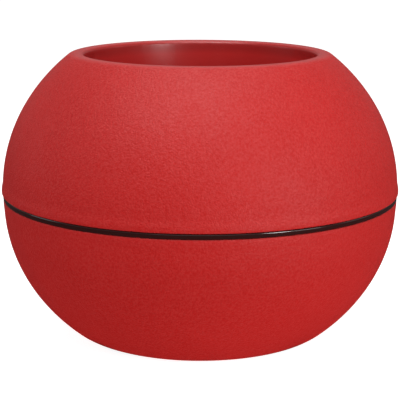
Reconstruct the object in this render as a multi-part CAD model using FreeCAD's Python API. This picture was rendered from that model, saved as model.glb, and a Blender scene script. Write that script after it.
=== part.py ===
"""Self-watering ball planter: a two-part moulded ball with a black joint band and a lift-out inner pot.

Frame: millimetres, +Z up, origin on the ground under the centre of the ball. The fold-up handles
lie at -Y (front) and +Y (back), the filler at +X and the water gauge at -X.
"""

import FreeCAD
import Part

import math
import os

V = FreeCAD.Vector
X_AXIS = V(1, 0, 0)
Y_AXIS = V(0, 1, 0)
Z_AXIS = V(0, 0, 1)
ORIGIN = V(0, 0, 0)

# ---- Working allowances -------------------------------------------------------------------------
PAST = 1.0  # how far a cutter runs past the face that it opens
ROOT = 0.5  # how far a moulded lump runs into the wall that carries it
HAIR = 0.01  # overlap or tolerance that only keeps faces from touching exactly

# ---- Driving dimensions -------------------------------------------------------------------------
BALL_R = 200.0  # greatest outer radius, on the upper shell
WALL = 3.0  # moulded wall of both shells
PAD_PROUD = 2.0  # how far the rubber pads hold the shell off the ground
JOINT_RISE = 143.5  # joint plane above the flat foot
RIM_RISE = 141.1  # rim above the joint plane
JOINT_GAP = 5.6  # height of the slot that shows the band

# ---- Worked-out heights -------------------------------------------------------------------------
FOOT_Z = PAD_PROUD
FLOOR_Z = FOOT_Z + WALL
JOINT_Z = FOOT_Z + JOINT_RISE
RIM_Z = JOINT_Z + RIM_RISE
SLOT_LOW_Z = JOINT_Z - JOINT_GAP / 2
SLOT_HIGH_Z = JOINT_Z + JOINT_GAP / 2

# ---- Outlines of the two shells -----------------------------------------------------------------
DOME_HALF_HEIGHT = 178.4
DOME_CENTRE_Z = JOINT_Z + 5.3
BOWL_R = 199.1
BOWL_HALF_HEIGHT = 173.8
BOWL_CENTRE_Z = JOINT_Z - 7.0
FOOT_ROUND = 39.0
SLOT_EDGE_ROUND = 1.2
UPPER_SKIRT_PROUD = 1.1  # the edge of each shell swells out a little beside the joint
LOWER_SKIRT_PROUD = 0.5
SKIRT_START = 15.0  # distance from the joint plane where the swelling begins
SKIRT_FULL = 6.0  # distance where it is complete
LIP_OUTER_ROUND = 10.2
LIP_INNER_ROUND = 3.9
MOUTH_R = 116.6  # opening, just under the lip
MOUTH_LOW_R = 115.8  # opening, at the ledge that carries the inner pot
LEDGE_DEPTH = 46.0
LEDGE_Z = RIM_Z - LEDGE_DEPTH
LEDGE_HOLE_R = 108.5
RIB_COUNT = 12
RIB_WIDTH = 2.0
SKIRT_STEPS = 8

# ---- Snap joint between the shells --------------------------------------------------------------
TONGUE_IN_R = 191.0
TONGUE_OUT_R = 193.6
TONGUE_RISE = 12.0
SHOULDER_DROP = 12.0
SEAT_CLEAR = 0.05
HOOK_COUNT = 8
HOOK_IN_R = 187.6
HOOK_THICK = 2.8
HOOK_WIDTH = 16.0
HOOK_TIP_DROP = 10.0
HOOK_BARB = 2.2
BARB_TALL = 4.5
BARB_FACE = 1.0  # upright face at the widest part of the barb
POCKET_CLEAR = 0.5
HOOK_SIDE_CLEAR = 1.0

# ---- Black joint band ---------------------------------------------------------------------------
BAND_IN_R = 193.8
BAND_FACE_R = 199.7
BAND_TOP_ROUND = 1.8
BAND_LOW_ROUND = 0.8
BAND_CLEAR = 0.1
BAND_BUTT_GAP = 0.6
BAND_BUTT_REACH = 20.0

# ---- Underside ----------------------------------------------------------------------------------
PAD_R = 12.0
PAD_CIRCLE_R = 90.0
PAD_COUNT = 4
PAD_POCKET_DEPTH = 1.6
PAD_POCKET_CLEAR = 0.1
PAD_EDGE_ROUND = 0.6
RECESS_R = 62.0
RECESS_DEPTH = 1.0
DRAIN_R = 12.05
DRAIN_BOSS_R = 18.0
DRAIN_BOSS_RISE = 4.0
PLUG_STEM_R = 12.0
PLUG_TIP_R = 11.4
PLUG_FLANGE_R = 17.0
PLUG_FLANGE_THICK = 1.8
COIN_SLOT_LENGTH = 22.0
COIN_SLOT_WIDTH = 2.4
COIN_SLOT_DEPTH = 1.0

# ---- Inner pot ----------------------------------------------------------------------------------
POT_WALL = 2.2
POT_LOW_Z = 13.0
POT_FLOOR = 2.5
POT_LOW_R = 90.0
POT_HIGH_R = 107.0
POT_FOOT_ROUND = 8.0
FLANGE_R = 114.4
FLANGE_THICK = 2.5
FLANGE_EDGE_ROUND = 0.8
FLANGE_LOW_Z = LEDGE_Z + SEAT_CLEAR
FLANGE_HIGH_Z = FLANGE_LOW_Z + FLANGE_THICK
POT_FLOOR_Z = POT_LOW_Z + POT_FLOOR
POT_TAPER = (POT_HIGH_R - POT_LOW_R) / (FLANGE_HIGH_Z - POT_LOW_Z)

# ---- Fold-up handles of the inner pot -----------------------------------------------------------
HANDLE_ARC_R = 110.0
HANDLE_HALF_ANGLE = 40.0
HANDLE_ROD_R = 2.3
GRIP_R = 3.2
GRIP_HALF_ANGLE = 16.0
KNUCKLE_R = 3.2
KNUCKLE_LENGTH = 4.6
TRUNNION_R = 2.0
TRUNNION_CLEAR = 0.05
LUG_WIDTH = 5.0
LUG_GAP = 0.3
KNUCKLE_LIFT = 0.3  # air under a knuckle when the handle is folded down
HANDLE_AXIS_Z = FLANGE_HIGH_Z + KNUCKLE_R + KNUCKLE_LIFT
HANDLE_AXIS_Y = 79.0
ARM_X = HANDLE_ARC_R * math.sin(math.radians(HANDLE_HALF_ANGLE))
ARM_Y = HANDLE_ARC_R * math.cos(math.radians(HANDLE_HALF_ANGLE))
LUG_IN_X = ARM_X + KNUCKLE_LENGTH / 2 + LUG_GAP
LUG_OUT_X = LUG_IN_X + LUG_WIDTH

# ---- Separator plate and wick cups --------------------------------------------------------------
PLATE_Z = 61.5
PLATE_THICK = 2.5
PLATE_TOP_Z = PLATE_Z + PLATE_THICK
PLATE_EDGE_RISE = 6.0
PLATE_EDGE_THICK = 2.0
PLATE_CLEAR = 0.4
BEAD_PROUD = 1.0
BEAD_CLEAR = 0.1
STOP_WIDTH = 2.4
GAUGE_STOP_WIDTH = 1.6
STOP_THICK = 2.5
LEG_COUNT = 4
LEG_CIRCLE_R = 74.0
LEG_R = 4.0
CUP_COUNT = 3
CUP_FIRST_ANGLE = 90.0
CUP_CIRCLE_R = 45.0
CUP_TOP_R = 17.0
CUP_LOW_R = 13.0
CUP_WALL = 1.5
CUP_FLANGE_R = 20.0
CUP_FOOT_CLEAR = 1.0
CUP_SLOT_PAIRS = 3  # each cut passes right through and makes two opposite slots
CUP_SLOT_WIDTH = 2.4
CUP_SLOT_START = 5.0  # above the foot of the cup
CUP_SLOT_TALL = 30.0
PLATE_HOLE_CLEAR = 0.2
DRIP_HOLE_R = 2.2
DRIP_HOLE_MARGIN = 4.5
DRIP_RINGS = ((14.0, 6), (26.0, 10), (64.0, 22), (80.0, 26))  # (radius, number of holes)

# ---- Filler -------------------------------------------------------------------------------------
FILL_X = 72.0
FILL_OUT_R = 14.0
FILL_IN_R = 12.4
FILL_LOW_Z = 34.0
FILL_TOP_Z = 244.0
FUNNEL_R = 17.0
FUNNEL_TALL = 12.0
FUNNEL_EAR_R = 3.0
FUNNEL_EAR_THICK = 3.0
FUNNEL_EAR_Y = 6.5
CAP_R = 17.6
CAP_THICK = 1.8
CAP_LIFT = 0.15  # air under the closed lid
CAP_SKIRT_OUT_R = 13.4
CAP_SKIRT_WALL = 1.4
CAP_SKIRT_TALL = 3.0
CAP_TAB_REACH = 9.0
CAP_TAB_WIDTH = 10.0
CAP_TAB_PROUD = 6.0
CAP_KNUCKLE_R = 2.6
CAP_KNUCKLE_WIDTH = 9.4
CAP_PIN_R = 1.4
CAP_PIN_LENGTH = 16.0
CAP_PIN_PRESS = 0.01  # the pin is pressed into the ears
CAP_PIN_FREE = 0.06  # and runs free in the knuckle of the lid
CAP_PIN_X = FILL_X + 20.5
CAP_PIN_Z = FILL_TOP_Z - 0.4

# ---- Water gauge --------------------------------------------------------------------------------
GAUGE_X = -72.0
GAUGE_OUT_R = 9.0
GAUGE_IN_R = 7.4
GAUGE_FOOT_CLEAR = 0.5
GAUGE_TOP_Z = 206.0
GAUGE_SLOT_PAIRS = 2
GAUGE_SLOT_WIDTH = 3.0
GAUGE_SLOT_START = 3.0
GAUGE_SLOT_TALL = 27.0
WINDOW_IN_R = 5.2
WINDOW_SPIGOT = 8.0
WINDOW_SPIGOT_CLEAR = 0.05
WINDOW_TOP_Z = 252.4
WINDOW_ROOF = 1.8
WINDOW_ROUND = 3.0
FLOAT_R = 6.7
FLOAT_TALL = 24.0
FLOAT_FOOT_CLEAR = 2.0
ROD_R = 1.5
ROD_FOOT_CLEAR = 1.0
ROD_PRESS = 0.02  # the float is pressed on the rod
TIP_R = 4.3
TIP_TALL = 5.0
TIP_ROUND = 1.0
TIP_LOW_Z = 211.0

# ---- Overflow standpipe -------------------------------------------------------------------------
OVERFLOW_OUT_R = 8.0
OVERFLOW_IN_R = 6.2
OVERFLOW_TOP_Z = 56.0
OVERFLOW_LOW_Z = 11.0
SEAL_NECK_R = 10.3
SEAL_FLANGE_R = 13.0
SEAL_PRESS = 0.02
SEAL_LIP = 1.3
SEAL_LIP_BEVEL = 1.0


# ---- Shape helpers ------------------------------------------------------------------------------
def disc(radius, low, high, x=0.0, y=0.0):
    """Upright cylinder between two heights."""
    return Part.makeCylinder(radius, high - low, V(x, y, low), Z_AXIS)


def ring(inner, outer, low, high, x=0.0, y=0.0):
    """Upright tube between two heights; the cutter runs past both ends so that no skin is left."""
    return disc(outer, low, high, x, y).cut(disc(inner, low - PAST, high + PAST, x, y))


def taper(low_r, high_r, low, high, x=0.0, y=0.0):
    """Upright cone frustum between two heights."""
    return Part.makeCone(low_r, high_r, high - low, V(x, y, low), Z_AXIS)


def bar(size_x, size_y, low, high, x=0.0, y=0.0):
    """Upright box centred on x and y."""
    return Part.makeBox(size_x, size_y, high - low, V(x - size_x / 2, y - size_y / 2, low))


def turned(edges):
    """Solid made by turning a closed outline in the XZ plane about Z."""
    face = Part.Face(Part.Wire(Part.__sortEdges__(edges)))
    return face.revolve(ORIGIN, Z_AXIS, 360)


def turned_outline(points):
    """Solid made by turning a closed polygon of (radius, height) corners about Z."""
    corners = [V(r, 0, z) for r, z in points]
    corners.append(corners[0])
    return Part.Face(Part.makePolygon(corners)).revolve(ORIGIN, Z_AXIS, 360)


def ellipse_arc(radius, half_height, centre_z, low, high):
    """Arc of a half ellipse in the XZ plane between two heights."""
    curve = Part.Ellipse(V(radius, 0, centre_z), V(0, 0, centre_z + half_height), V(0, 0, centre_z))
    low_angle = math.asin((low - centre_z) / half_height)
    high_angle = math.asin((high - centre_z) / half_height)
    return curve.toShape(low_angle, high_angle)


def turned_under(curves, low, high):
    """Solid between Z and a chain of curves that runs from one height to another."""
    corners = [vertex.Point for curve in curves for vertex in curve.Vertexes]
    low_corner = min(corners, key=lambda p: p.z)
    high_corner = max(corners, key=lambda p: p.z)
    lines = [
        Part.makeLine(V(0, 0, low), low_corner),
        Part.makeLine(high_corner, V(0, 0, high)),
        Part.makeLine(V(0, 0, high), V(0, 0, low)),
    ]
    return turned(curves + lines)


def turned_ellipse(radius, half_height, centre_z, low, high):
    """Solid under a half ellipse turned about Z, cut flat at two heights."""
    return turned_under([ellipse_arc(radius, half_height, centre_z, low, high)], low, high)


def skirt_curve(radius, half_height, centre_z, proud, edge_z):
    """Curve of a shell's last stretch beside the joint, where it swells out of the ellipse."""
    side = 1 if edge_z > JOINT_Z else -1
    start_z = JOINT_Z + side * SKIRT_START
    points = []
    for k in range(SKIRT_STEPS + 1):
        z = start_z + (edge_z - start_z) * k / SKIRT_STEPS
        share = min(1.0, (SKIRT_START - abs(z - JOINT_Z)) / (SKIRT_START - SKIRT_FULL))
        swell = proud * share * share * (3 - 2 * share)
        points.append(V(ellipse_radius(radius, half_height, centre_z, z) + swell, 0, z))
    curve = Part.BSplineCurve()
    curve.interpolate(points)
    return curve.toShape()


def rounded(solid, radius, height, near_r, reach=1.0):
    """Rounds the circular edges about Z that lie at a height and within reach of a radius."""

    def wanted(edge):
        curve = edge.Curve
        return (
            isinstance(curve, Part.Circle)
            and abs(curve.Center.z - height) < HAIR
            and abs(curve.Radius - near_r) < reach
            and math.hypot(curve.Center.x, curve.Center.y) < HAIR
        )

    return solid.makeFillet(radius, [edge for edge in solid.Edges if wanted(edge)])


def rounded_above(solid, radius, height):
    """Rounds every edge that lies wholly above a height."""
    return solid.makeFillet(radius, [edge for edge in solid.Edges if edge.BoundBox.ZMin > height])


def around(shape, count):
    """Copies of a shape at equal angles about Z, the first one half a step from +X."""
    step = 360.0 / count
    copies = []
    for k in range(count):
        copy = shape.copy()
        copy.rotate(ORIGIN, Z_AXIS, (k + 0.5) * step)
        copies.append(copy)
    return copies


def places_around(radius, count, first_angle):
    """Centres at equal angles on a circle about Z."""
    angles = [math.radians(first_angle + 360.0 * k / count) for k in range(count)]
    return [(radius * math.cos(a), radius * math.sin(a)) for a in angles]


def slots_across(width, length, low, high, pairs, x, y):
    """Cutters through an upright tube, each of which leaves two opposite slots."""
    cutters = []
    for k in range(pairs):
        cutter = bar(length, width, low, high, x, y)
        cutter.rotate(V(x, y, 0), Z_AXIS, 180.0 * k / pairs)
        cutters.append(cutter)
    return cutters


def fused(shapes):
    """One solid from touching shapes."""
    return shapes[0].multiFuse(shapes[1:]).removeSplitter()


def ellipse_radius(radius, half_height, centre_z, height):
    """Radius of a turned ellipse at a height."""
    return radius * math.sqrt(1 - ((height - centre_z) / half_height) ** 2)


def pot_inner_r(height):
    """Inner radius of the inner pot at a height."""
    return POT_LOW_R + POT_TAPER * (height - POT_LOW_Z) - POT_WALL


# ---- Outer ball ---------------------------------------------------------------------------------
def upper_shell():
    """Dome, rolled lip and inner collar in one moulding, with the snap hooks inside its lower edge."""
    rim_r = ellipse_radius(BALL_R, DOME_HALF_HEIGHT, DOME_CENTRE_Z, RIM_Z)
    edge_r = ellipse_radius(BALL_R, DOME_HALF_HEIGHT, DOME_CENTRE_Z, SLOT_HIGH_Z) + UPPER_SKIRT_PROUD
    dome = ellipse_arc(BALL_R, DOME_HALF_HEIGHT, DOME_CENTRE_Z, JOINT_Z + SKIRT_START, RIM_Z)
    skirt = skirt_curve(BALL_R, DOME_HALF_HEIGHT, DOME_CENTRE_Z, UPPER_SKIRT_PROUD, SLOT_HIGH_Z)
    outside = turned_under([dome, skirt], SLOT_HIGH_Z, RIM_Z)
    outside = rounded(outside, LIP_OUTER_ROUND, RIM_Z, rim_r)
    outside = rounded(outside, SLOT_EDGE_ROUND, SLOT_HIGH_Z, edge_r)
    inside = turned_ellipse(
        BALL_R - WALL, DOME_HALF_HEIGHT - WALL, DOME_CENTRE_Z, SLOT_HIGH_Z - PAST, RIM_Z - WALL
    )
    collar_low_z = LEDGE_Z - WALL
    collar = disc(MOUTH_LOW_R + WALL, collar_low_z, RIM_Z)
    shell = outside.cut(inside.cut(collar))
    mouth = taper(MOUTH_LOW_R, MOUTH_R, LEDGE_Z, RIM_Z)
    shell = shell.cut(mouth)
    shell = shell.cut(disc(LEDGE_HOLE_R, collar_low_z - PAST, LEDGE_Z + PAST))
    shell = rounded(shell, LIP_INNER_ROUND, RIM_Z, MOUTH_R)

    rib = bar(BALL_R, RIB_WIDTH, LEDGE_Z, RIM_Z, BALL_R / 2)
    rib_room = inside.cut(disc(MOUTH_LOW_R + WALL, LEDGE_Z - PAST, RIM_Z + PAST))
    ribs = [piece.common(rib_room) for piece in around(rib, RIB_COUNT)]

    seat_z = JOINT_Z + TONGUE_RISE + SEAT_CLEAR
    seat = ring(HOOK_IN_R, BALL_R - WALL + ROOT, seat_z, seat_z + WALL)
    return fused([shell, seat] + ribs + around(snap_hook(seat_z), HOOK_COUNT))


def snap_hook(seat_z):
    """Springy hook that reaches down inside the tongue and catches in its pocket."""
    tip_z = JOINT_Z - HOOK_TIP_DROP
    barb_z = tip_z + BARB_TALL
    face_r = HOOK_IN_R + HOOK_THICK
    outline = [
        V(HOOK_IN_R, 0, tip_z),
        V(face_r, 0, tip_z),
        V(face_r + HOOK_BARB, 0, barb_z - BARB_FACE),
        V(face_r + HOOK_BARB, 0, barb_z),
        V(face_r, 0, barb_z),
        V(face_r, 0, seat_z + WALL),
        V(HOOK_IN_R, 0, seat_z + WALL),
        V(HOOK_IN_R, 0, tip_z),
    ]
    hook = Part.Face(Part.makePolygon(outline)).extrude(V(0, HOOK_WIDTH, 0))
    hook.translate(V(0, -HOOK_WIDTH / 2, 0))
    return hook


def lower_shell():
    """Bowl with the flat foot, the tongue that locates the upper shell, and the drain boss."""
    foot_r = ellipse_radius(BOWL_R, BOWL_HALF_HEIGHT, BOWL_CENTRE_Z, FOOT_Z)
    edge_r = ellipse_radius(BOWL_R, BOWL_HALF_HEIGHT, BOWL_CENTRE_Z, SLOT_LOW_Z) + LOWER_SKIRT_PROUD
    bowl = ellipse_arc(BOWL_R, BOWL_HALF_HEIGHT, BOWL_CENTRE_Z, FOOT_Z, JOINT_Z - SKIRT_START)
    skirt = skirt_curve(BOWL_R, BOWL_HALF_HEIGHT, BOWL_CENTRE_Z, LOWER_SKIRT_PROUD, SLOT_LOW_Z)
    outside = turned_under([bowl, skirt], FOOT_Z, SLOT_LOW_Z)
    outside = rounded(outside, FOOT_ROUND, FOOT_Z, foot_r)
    outside = rounded(outside, SLOT_EDGE_ROUND, SLOT_LOW_Z, edge_r)

    in_r = BOWL_R - WALL
    in_half = BOWL_HALF_HEIGHT - WALL
    floor_r = ellipse_radius(in_r, in_half, BOWL_CENTRE_Z, FLOOR_Z)
    inside = turned_ellipse(in_r, in_half, BOWL_CENTRE_Z, FLOOR_Z, SLOT_LOW_Z + PAST)
    inside = rounded(inside, FOOT_ROUND - WALL, FLOOR_Z, floor_r)

    shoulder = ring(TONGUE_IN_R, in_r + ROOT, JOINT_Z - SHOULDER_DROP, SLOT_LOW_Z)
    tongue = ring(TONGUE_IN_R, TONGUE_OUT_R, JOINT_Z - SHOULDER_DROP, JOINT_Z + TONGUE_RISE)
    boss = disc(DRAIN_BOSS_R, FOOT_Z + RECESS_DEPTH, FLOOR_Z + DRAIN_BOSS_RISE)
    shell = fused([outside.cut(inside), shoulder, tongue, boss])

    barb_reach = HOOK_IN_R + HOOK_THICK + HOOK_BARB + POCKET_CLEAR
    pocket_low = JOINT_Z - HOOK_TIP_DROP - POCKET_CLEAR
    pocket_high = pocket_low + BARB_TALL + 2 * POCKET_CLEAR
    pocket_width = HOOK_WIDTH + 2 * HOOK_SIDE_CLEAR
    pocket_x = (barb_reach + HOOK_IN_R) / 2
    pocket = bar(barb_reach - HOOK_IN_R, pocket_width, pocket_low, pocket_high, pocket_x)
    cuts = around(pocket, HOOK_COUNT)

    under = FOOT_Z - PAST
    pad_pocket = disc(PAD_R + PAD_POCKET_CLEAR, under, FOOT_Z + PAD_POCKET_DEPTH, PAD_CIRCLE_R)
    cuts += around(pad_pocket, PAD_COUNT)
    cuts.append(disc(RECESS_R, under, FOOT_Z + RECESS_DEPTH))
    cuts.append(disc(DRAIN_R, under, FLOOR_Z + DRAIN_BOSS_RISE + PAST))
    return shell.cut(Part.makeCompound(cuts))


def joint_band():
    """Glossy strip bent into the joint, its outer edges rounded and its two ends butted at the back."""
    low = SLOT_LOW_Z + BAND_CLEAR
    high = SLOT_HIGH_Z - BAND_CLEAR
    band = ring(BAND_IN_R, BAND_FACE_R, low, high)
    band = rounded(band, BAND_TOP_ROUND, high, BAND_FACE_R)
    band = rounded(band, BAND_LOW_ROUND, low, BAND_FACE_R)
    return band.cut(bar(BAND_BUTT_GAP, BAND_BUTT_REACH, low - PAST, high + PAST, 0, BAND_IN_R))


def foot_pads():
    """Rubber pads pressed into pockets in the foot."""
    pad = disc(PAD_R, 0, FOOT_Z + PAD_POCKET_DEPTH - SEAT_CLEAR, PAD_CIRCLE_R)
    pad = pad.makeFillet(PAD_EDGE_ROUND, [edge for edge in pad.Edges if edge.BoundBox.ZMax < HAIR])
    return Part.makeCompound(around(pad, PAD_COUNT))


def drain_plug():
    """Tapered rubber bung with a flat flange and a slot for a coin."""
    flange_top = FOOT_Z + RECESS_DEPTH
    flange = disc(PLUG_FLANGE_R, flange_top - PLUG_FLANGE_THICK, flange_top - SEAT_CLEAR)
    stem = taper(PLUG_STEM_R, PLUG_TIP_R, flange_top - SEAT_CLEAR, FLOOR_Z + DRAIN_BOSS_RISE)
    face_z = flange_top - PLUG_FLANGE_THICK
    slot = bar(COIN_SLOT_LENGTH, COIN_SLOT_WIDTH, face_z - PAST, face_z + COIN_SLOT_DEPTH)
    return fused([flange, stem]).cut(slot)


# ---- Inner pot ----------------------------------------------------------------------------------
def inner_pot():
    """Tapered pot that hangs by its flange on the ledge inside the mouth."""
    outside = taper(POT_LOW_R, POT_HIGH_R, POT_LOW_Z, FLANGE_HIGH_Z)
    outside = rounded(outside, POT_FOOT_ROUND, POT_LOW_Z, POT_LOW_R)
    inside_low_r = pot_inner_r(POT_FLOOR_Z)
    inside_high_z = FLANGE_HIGH_Z + PAST
    inside = taper(inside_low_r, pot_inner_r(inside_high_z), POT_FLOOR_Z, inside_high_z)
    inside = rounded(inside, POT_FOOT_ROUND - POT_WALL, POT_FLOOR_Z, inside_low_r)
    flange = disc(FLANGE_R, FLANGE_LOW_Z, FLANGE_HIGH_Z)
    flange = rounded(flange, FLANGE_EDGE_ROUND, FLANGE_HIGH_Z, FLANGE_R)
    pot = outside.fuse(flange).cut(inside).fuse(plate_bead())
    pot = pot.cut(disc(SEAL_NECK_R, POT_LOW_Z - PAST, POT_FLOOR_Z + PAST))
    lugs = [handle_lug(side_x, side_y) for side_x in (-1, 1) for side_y in (-1, 1)]
    bores = [
        Part.makeCylinder(
            TRUNNION_R + TRUNNION_CLEAR,
            2 * (LUG_OUT_X + PAST),
            V(-LUG_OUT_X - PAST, side_y * HANDLE_AXIS_Y, HANDLE_AXIS_Z),
            X_AXIS,
        )
        for side_y in (-1, 1)
    ]
    return fused([pot] + lugs).cut(Part.makeCompound(bores))


def plate_bead():
    """Bead on the wall of the inner pot that keeps the separator plate down."""
    low = PLATE_TOP_Z + PLATE_EDGE_RISE + BEAD_CLEAR
    low_r = pot_inner_r(low)
    high = low + 2 * BEAD_PROUD
    high_r = pot_inner_r(high)
    root = POT_WALL / 2
    return turned_outline(
        [
            (low_r + root, low),
            (low_r - BEAD_PROUD, low),
            (low_r - BEAD_PROUD, low + BEAD_PROUD / 2),
            (high_r, high),
            (high_r + root, high),
        ]
    )


def handle_lug(side_x, side_y):
    """Bearing block on the flange for one end of a handle, rounded over its bore."""
    centre_x = side_x * (LUG_IN_X + LUG_OUT_X) / 2
    centre_y = side_y * HANDLE_AXIS_Y
    block = bar(LUG_WIDTH, 2 * KNUCKLE_R, FLANGE_HIGH_Z - ROOT, HANDLE_AXIS_Z, centre_x, centre_y)
    start = V(centre_x - LUG_WIDTH / 2, centre_y, HANDLE_AXIS_Z)
    return block.fuse(Part.makeCylinder(KNUCKLE_R, LUG_WIDTH, start, X_AXIS))


def handle(side_y):
    """Bail that lies along the flange and folds up; side_y is -1 for the front one, 1 for the back."""

    def arc_rod(rod_r, half_angle):
        centre = V(0, side_y * HANDLE_ARC_R, HANDLE_AXIS_Z)
        section = Part.Face(Part.Wire(Part.makeCircle(rod_r, centre, X_AXIS)))
        section.rotate(ORIGIN, Z_AXIS, -half_angle)
        return section.revolve(ORIGIN, Z_AXIS, 2 * half_angle)

    pieces = [arc_rod(HANDLE_ROD_R, HANDLE_HALF_ANGLE), arc_rod(GRIP_R, GRIP_HALF_ANGLE)]
    for side_x in (-1, 1):
        corner = V(side_x * ARM_X, side_y * ARM_Y, HANDLE_AXIS_Z)
        arm_length = ARM_Y - HANDLE_AXIS_Y
        pieces.append(Part.makeSphere(HANDLE_ROD_R, corner))
        pieces.append(Part.makeCylinder(HANDLE_ROD_R, arm_length, corner, V(0, -side_y, 0)))
        outward = V(side_x, 0, 0)
        pivot = V(side_x * ARM_X, side_y * HANDLE_AXIS_Y, HANDLE_AXIS_Z)
        knuckle_start = pivot - outward * (KNUCKLE_LENGTH / 2)
        pieces.append(Part.makeCylinder(KNUCKLE_R, KNUCKLE_LENGTH, knuckle_start, outward))
        pieces.append(Part.makeCylinder(TRUNNION_R, LUG_OUT_X - LUG_GAP - ARM_X, pivot, outward))
    return fused(pieces)


# ---- Reservoir fittings -------------------------------------------------------------------------
def cup_places():
    """Centres of the wick cups."""
    return places_around(CUP_CIRCLE_R, CUP_COUNT, CUP_FIRST_ANGLE)


def separator_plate():
    """Perforated false bottom on four legs, with an upstanding edge and holes for the fittings."""
    plate_r = pot_inner_r(PLATE_Z) - PLATE_CLEAR
    plate = disc(plate_r, PLATE_Z, PLATE_TOP_Z)
    edge = ring(plate_r - PLATE_EDGE_THICK, plate_r, PLATE_Z, PLATE_TOP_Z + PLATE_EDGE_RISE)
    leg = disc(LEG_R, POT_FLOOR_Z + SEAT_CLEAR, PLATE_Z + ROOT, LEG_CIRCLE_R)
    body = fused([plate, edge] + around(leg, LEG_COUNT))

    under = PLATE_Z - PAST
    fittings = [(x, y, CUP_TOP_R + PLATE_HOLE_CLEAR) for x, y in cup_places()]
    fittings.append((FILL_X, 0.0, FILL_OUT_R + PLATE_HOLE_CLEAR))
    fittings.append((GAUGE_X, 0.0, GAUGE_OUT_R + PLATE_HOLE_CLEAR))
    cuts = [disc(r, under, PLATE_TOP_Z + PLATE_EDGE_RISE + PAST, x, y) for x, y, r in fittings]
    leg_places = places_around(LEG_CIRCLE_R, LEG_COUNT, 180.0 / LEG_COUNT)
    taken = fittings + [(x, y, LEG_R) for x, y in leg_places]
    for ring_r, count in DRIP_RINGS:
        for x, y in places_around(ring_r, count, 0.0):
            if has_room(x, y, taken):
                cuts.append(disc(DRIP_HOLE_R, under, PLATE_TOP_Z + PAST, x, y))
    return body.cut(Part.makeCompound(cuts))


def has_room(x, y, taken):
    """Whether a drip hole here keeps its margin from every (x, y, radius) that is taken."""
    return all(math.hypot(x - a, y - b) > r + DRIP_HOLE_R + DRIP_HOLE_MARGIN for a, b, r in taken)


def wick_cup(x, y):
    """Slotted cup that dips soil into the water; its flange rests on the plate."""
    low = POT_FLOOR_Z + CUP_FOOT_CLEAR
    top = PLATE_TOP_Z + SEAT_CLEAR
    throat_r = CUP_TOP_R - CUP_WALL
    outside = taper(CUP_LOW_R, CUP_TOP_R, low, top, x, y)
    flange = disc(CUP_FLANGE_R, top, top + CUP_WALL, x, y)
    inside = taper(CUP_LOW_R - CUP_WALL, throat_r, low + CUP_WALL, top, x, y)
    throat = disc(throat_r, top - HAIR, top + CUP_WALL + PAST, x, y)
    slot_low = low + CUP_SLOT_START
    slot_high = slot_low + CUP_SLOT_TALL
    slots = slots_across(CUP_SLOT_WIDTH, 2 * CUP_FLANGE_R, slot_low, slot_high, CUP_SLOT_PAIRS, x, y)
    cup = outside.fuse(flange).cut(inside).cut(throat)
    return cup.cut(Part.makeCompound(slots))


def wick_cups():
    """The three wick cups."""
    return Part.makeCompound([wick_cup(x, y) for x, y in cup_places()])


def fill_tube():
    """Pipe from the mouth down to the reservoir, with a funnel top and two hinge ears."""
    funnel_z = FILL_TOP_Z - FUNNEL_TALL
    pipe = disc(FILL_OUT_R, FILL_LOW_Z, funnel_z, FILL_X)
    funnel = taper(FILL_OUT_R, FUNNEL_R, funnel_z, FILL_TOP_Z, FILL_X)
    stop = disc(FILL_OUT_R + STOP_WIDTH, PLATE_TOP_Z + SEAT_CLEAR, PLATE_TOP_Z + STOP_THICK, FILL_X)
    pieces = [pipe, funnel, stop]
    arm_length = CAP_PIN_X - FILL_X
    arm_x = FILL_X + arm_length / 2
    for side in (-1, 1):
        ear_y = side * FUNNEL_EAR_Y
        arm = bar(arm_length, FUNNEL_EAR_THICK, CAP_PIN_Z - FUNNEL_EAR_R, CAP_PIN_Z, arm_x, ear_y)
        pieces.append(arm.fuse(across(FUNNEL_EAR_R, FUNNEL_EAR_THICK, ear_y)))
    wall = FILL_OUT_R - FILL_IN_R
    bore = disc(FILL_IN_R, FILL_LOW_Z - PAST, funnel_z + HAIR, FILL_X)
    flare = taper(FILL_IN_R, FUNNEL_R - wall, funnel_z, FILL_TOP_Z + HAIR, FILL_X)
    pin_hole = across(CAP_PIN_R + CAP_PIN_PRESS, CAP_PIN_LENGTH + PAST)
    return fused(pieces).cut(Part.makeCompound([bore, flare, pin_hole]))


def across(radius, length, y=0.0):
    """Cylinder along Y on the hinge axis of the filler cap, centred on y."""
    return Part.makeCylinder(radius, length, V(CAP_PIN_X, y - length / 2, CAP_PIN_Z), Y_AXIS)


def fill_cap():
    """Flap lid over the funnel, with a plug skirt, a finger tab and a knuckle for its pin."""
    low = FILL_TOP_Z + CAP_LIFT
    high = low + CAP_THICK
    lid = disc(CAP_R, low, high, FILL_X)
    skirt_in_r = CAP_SKIRT_OUT_R - CAP_SKIRT_WALL
    skirt = ring(skirt_in_r, CAP_SKIRT_OUT_R, low - CAP_SKIRT_TALL, low + ROOT, FILL_X)
    tab_x = FILL_X - CAP_R - CAP_TAB_PROUD + CAP_TAB_REACH / 2
    tab = bar(CAP_TAB_REACH, CAP_TAB_WIDTH, low, high, tab_x)
    reach = CAP_PIN_X - FILL_X
    arm = bar(reach, CAP_KNUCKLE_WIDTH, low, high, FILL_X + reach / 2)
    knuckle = across(CAP_KNUCKLE_R, CAP_KNUCKLE_WIDTH)
    bore = across(CAP_PIN_R + CAP_PIN_FREE, CAP_KNUCKLE_WIDTH + PAST)
    return fused([lid, skirt, tab, arm, knuckle]).cut(bore)


def fill_cap_pin():
    """Hinge pin of the flap lid."""
    return across(CAP_PIN_R, CAP_PIN_LENGTH)


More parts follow.
